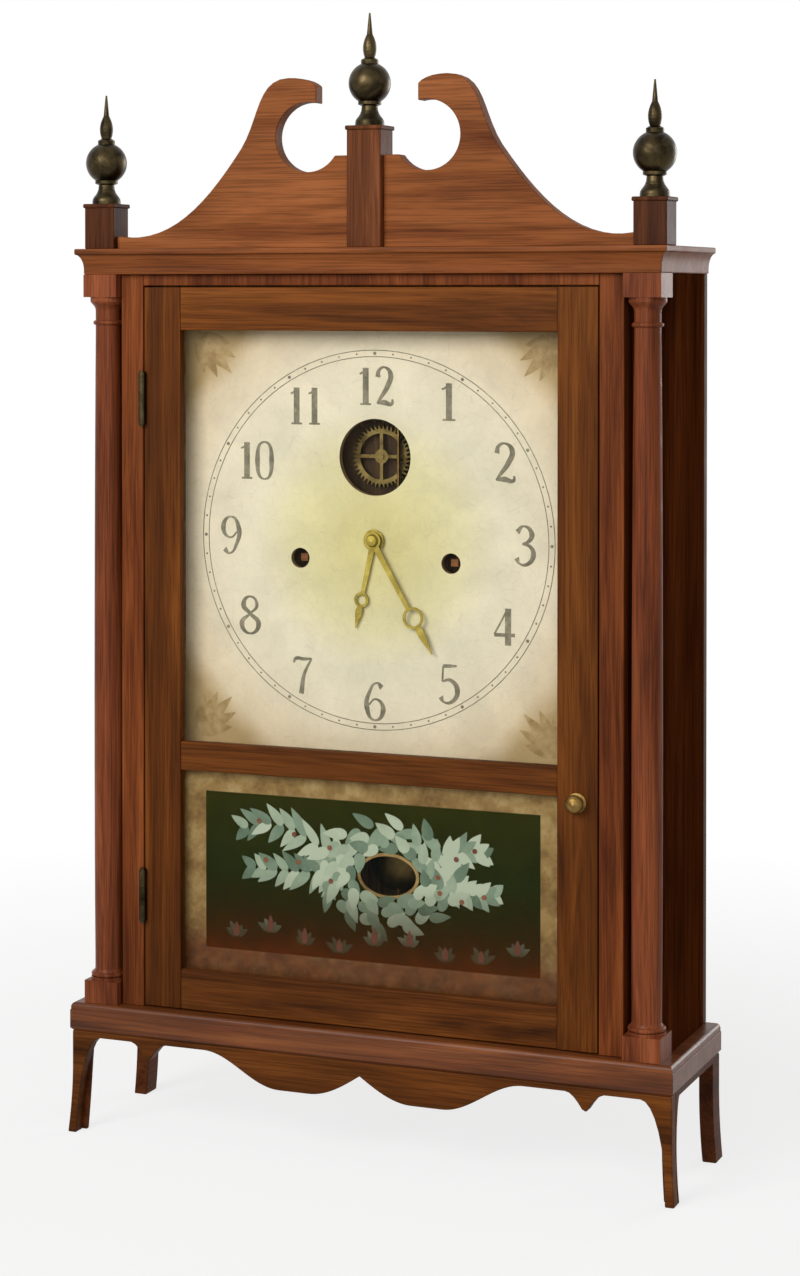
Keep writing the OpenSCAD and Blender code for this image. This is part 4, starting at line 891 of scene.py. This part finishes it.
# Brown toward the foot is a painted reflection.
gilt_reflection = ramp(tree, level, (reflection_full, 1.0), (reflection_ends, 0.0))
brown = ramp(tree, noise(tree, place(tree), 120, 5, 0.65), (0.34, rgb(70, 32, 8)), (0.66, rgb(112, 60, 24)))
tint(tree, shader, mix(tree, maths(tree, "MULTIPLY", gilt_reflection, 0.88), gilt, brown))
wear(tree, shader, cloud, 0.35, 0.6)
bm = bmesh.new()
border(bm, pane_low, pane_high, border_band)
ring(bm, oval, oval_r, oval_band, 64)
painted("tablet_gilt_border", bm, pane_high.y + layer_back["gilt"], film, tablet_gilt, "tablet_glass")
print("gilt border", 1000 * border_band, "mm wide")

# %% [markdown]
# A wreath of pale leaves surrounds the oval, with sprays on both sides and small sprigs at the foot.
# Leaves could be scattered by a particle system, which leaves their places to chance.
# Here every leaf is set along a rising curve, an oval or a row, and a seeded random number gives each
# a slightly different length, direction and tone, as a brush would. Berries sit among the sprays.

# %% Sprays beside the oval
random.seed(7)
berry_r = 0.0018
leaves = bmesh.new()
berries = bmesh.new()
spray_from, spray_steps, spray_bend = 0.03, 9, 2.2
for side, reach, rise, size in ((-1, 0.11, 0.03, 0.026), (-1, 0.104, -0.002, 0.024),
                                (1, 0.07, 0.022, 0.02), (1, 0.078, -0.008, 0.019)):
    for k in range(spray_steps):
        t = 1 - (k + 0.5) / spray_steps
        x = oval[0] + side * (spray_from + (reach - spray_from) * t)
        z = oval[1] + rise * sin(spray_bend * t)
        for tip in (-1, 1):
            slope = 58 * tip * (1 - 0.4 * t) + random.uniform(-12, 12) + rise * 500 * cos(spray_bend * t)
            leaf(leaves, (x, z), slope if side > 0 else 180 - slope,
                 length=size * random.uniform(0.75, 1.0) * (1.05 - 0.4 * t),
                 width=random.uniform(0.0055, 0.007), tone=random.random())
        if k % 3 == 1:
            disc(berries, (x, z + random.uniform(-0.008, 0.008)), berry_r, 14)
print("spray leaves and berries:", len(leaves.faces), len(berries.faces))

# %% Wreath round the oval and sprigs at the foot
for out, count, size in ((2.5, 28, 0.018), (2.0, 26, 0.018), (1.5, 24, 0.015)):
    for k in range(count):
        turn = 2 * pi * k / count
        at = (oval[0] + out * 0.95 * oval_r[0] * cos(turn), oval[1] + out * oval_r[1] * sin(turn))
        lean = degrees(turn) + 90 + random.uniform(-42, -14) + (56 if k % 2 else 0)
        leaf(leaves, at, lean, length=size * random.uniform(0.8, 1.05),
             width=random.uniform(0.006, 0.0075), tone=random.random())

sprigs, sprig_x, sprig_step, sprig_z, sprig_leaf_w = 9, -0.1, 0.026, 0.146, 0.004
for k in range(sprigs):
    at = (sprig_x + sprig_step * k, sprig_z + 0.005 * sin(1.7 * k))
    for turn in (30, 62, 90, 118, 150):
        leaf(berries if turn == 90 else leaves, at, turn, length=random.uniform(0.008, 0.012),
             width=sprig_leaf_w, tone=random.random())
print("leaves in all:", len(leaves.faces))

# %% [markdown]
# The leaves are painted from grey-green to nearly white. One colour would look like a stencil, so the paint
# reads the tone that each leaf carries. Toward the foot leaves and berries both turn to the brown of the
# ground, as painted reflection.

# %% Paint of leaves and berries
leaf_paint, tree, shader = new_finish("leaf_paint", Specular_IOR_Level=0.15)
cloud = noise(tree, place(tree), 70, 5, 0.65)
tone = add(tree, "Attribute", attribute_name="tone").outputs["Fac"]
tone = maths(tree, "ADD", tone, maths(tree, "MULTIPLY", cloud, 0.5))
pale = ramp(tree, tone, (0.2, rgb(84, 106, 84)), (0.6, rgb(138, 158, 132)), (1.0, rgb(186, 198, 170)))
# Toward the foot the leaves turn brown: painted reflection.
foot_reflection = ramp(tree, along(tree, "Z"), (0.15, 1.0), (0.19, 0.0))
tint(tree, shader, mix(tree, foot_reflection, pale, rgb(64, 52, 26)))
wear(tree, shader, cloud, 0.4, 0.6)
painted("tablet_leaves", leaves, pane_high.y + layer_back["leaves"], film, leaf_paint, "tablet_glass")

berry_paint, tree, shader = new_finish("berry_paint", Specular_IOR_Level=0.3)
cloud = noise(tree, place(tree), 150, 4, 0.6)
red = ramp(tree, cloud, (0.35, rgb(98, 46, 26)), (0.65, rgb(142, 92, 60)))
# Toward the foot the berries turn brown: painted reflection.
foot_reflection = ramp(tree, along(tree, "Z"), (0.155, 1.0), (0.185, 0.0))
tint(tree, shader, mix(tree, foot_reflection, red, rgb(92, 46, 22)))
wear(tree, shader, cloud, 0.4, 0.6)
painted("tablet_berries", berries, pane_high.y + layer_back["berries"], film, berry_paint, "tablet_glass")
print("wreath and sprays painted")

# %% [markdown]
# Each pane is bedded in putty at the back of the door, a sloped fillet between the glass and the wood.
# It could be swept along the opening as a curve, but corners of a swept curve pinch.
# It is the same flat frame as the border instead, raised on its outer side.

# %% Putty round the panes
putty_band, putty_high, putty_thin = 0.0042, 0.0035, 0.0004
putty_seat = {"dial_glass": 0.0, "tablet_glass": 0.0013}
putty_greys = (0.35, rgb(92, 76, 56)), (0.65, rgb(140, 120, 92))
putty = clouded("putty", 80, putty_greys, (0.7, 0.9), Specular_IOR_Level=0.1)
for pane, seat in putty_seat.items():
    low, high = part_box(pane)
    bm = bmesh.new()
    border(bm, low, high, putty_band)
    grown = bmesh.ops.extrude_face_region(bm, geom=bm.faces[:])["geom"]
    top = {g for g in grown if isinstance(g, bmesh.types.BMVert)}
    for v in bm.verts:
        outside = v.co.x in (low.x, high.x) or v.co.z in (low.z, high.z)
        raised = putty_high if outside else putty_thin
        v.co.y = high.y + seat + (raised if v in top else 0)
    bmesh.ops.recalc_face_normals(bm, faces=bm.faces)
    piece(pane + "_putty", bm, putty, "door_mid_rail", sharp=30)
print("putty round two panes")

# %% [markdown]
# The weights hang on cords twisted from three strands. Three thin tubes could be wound round each other,
# at three times the faces. A curve along the cord's path carries a three-lobed outline instead,
# and a tilt that grows with distance turns the lobes round the path.

# %% Helpers for a twisted cord
cord_r, outline_points = 0.00099, 18
lobes = bpy.data.curves.new("strand_outline", "CURVE")
lobes.dimensions = "2D"
outline = lobes.splines.new("POLY")
outline.points.add(outline_points - 1)
outline.use_cyclic_u = True
for k, point in enumerate(outline.points):
    turn = 2 * pi * k / outline_points
    out = cord_r * (0.84 + 0.16 * cos(3 * turn))
    point.co = (out * cos(turn), out * sin(turn), 0, 1)
strand_outline = bpy.data.objects.new("strand_outline", lobes)


def twisted(name, paths, pitch):
    """Three-strand cords along close rows of points, with one turn for each pitch of length."""
    curve = bpy.data.curves.new(name, "CURVE")
    curve.dimensions = "3D"
    curve.bevel_mode = "OBJECT"
    curve.bevel_object = strand_outline
    curve.use_fill_caps = True
    for path in paths:
        spline = curve.splines.new("POLY")
        spline.points.add(len(path) - 1)
        gone = 0.0
        for k, point in enumerate(spline.points):
            gone += (Vector(path[k]) - Vector(path[k - 1])).length if k else 0
            point.co = (*path[k], 1)
            point.tilt = 2 * pi * gone / pitch
    return curve_mesh(name, curve)


def between(a, b, step):
    """A close row of points on a straight line."""
    count = max(2, round((Vector(b) - Vector(a)).length / step))
    return [tuple(Vector(a).lerp(Vector(b), k / count)) for k in range(count + 1)]


print("cord outline of", outline_points, "points")

# %% [markdown]
# Each cord leaves its drum, runs straight up to a pulley under the top of the case, bends over it and falls
# to its weight. The straight run touches both circles, so its slope follows from their places and radii.
# The falling end runs straight down to its weight.

# %% Cords
lead_r = 0.0143
wrap_steps = 48
lead_step, lead_pitch = 0.0008, 0.006
fall_step, fall_pitch = 0.0002, 0.002
hemp_tones = (0.3, rgb(120, 98, 64)), (0.7, rgb(178, 154, 112))
hemp = clouded("hemp", 900, hemp_tones, (0.7, 0.9), detail=3, Specular_IOR_Level=0.1)


def middle(name):
    low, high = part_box(name)
    return (low + high) / 2


leads = []
for side, train in ((1, "time"), (-1, "strike")):
    drop, weight = train + "_cord_drop", train + "_weight"
    drop_low, drop_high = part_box(drop)
    hang, y, _ = middle(drop)
    pulley, drum = middle(train + "_pulley"), middle(train + "_drum")
    groove_r = abs(hang) - abs(pulley.x)
    over = Vector((abs(pulley.x) - abs(drum.x), pulley.z - drum.z))
    slope = atan2(over.y, over.x) + asin((lead_r + groove_r) / over.length)
    start = (drum.x + side * lead_r * sin(slope), y, drum.z - lead_r * cos(slope))
    wrap = []
    for k in range(wrap_steps + 1):
        turn = (slope + pi / 2) * (1 - k / wrap_steps)
        wrap.append((pulley.x + side * groove_r * cos(turn), y, pulley.z + groove_r * sin(turn)))
    leads.append(between(start, wrap[0], lead_step) + wrap[1:])
    top, foot = (hang, y, drop_high.z), (hang, y, drop_low.z)
    fall = shown(drop + "_twisted", twisted("fall", [between(top, foot, fall_step)], fall_pitch), hemp, 70)
    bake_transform(fall)
    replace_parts(fall, drop)
cords = piece("weight_cord_leads", twisted("leads", leads, lead_pitch), hemp, "weight_cords", sharp=70)
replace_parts(cords, "weight_cords")
bpy.data.objects.remove(strand_outline)
print("cord leads of", [len(path) for path in leads], "points")
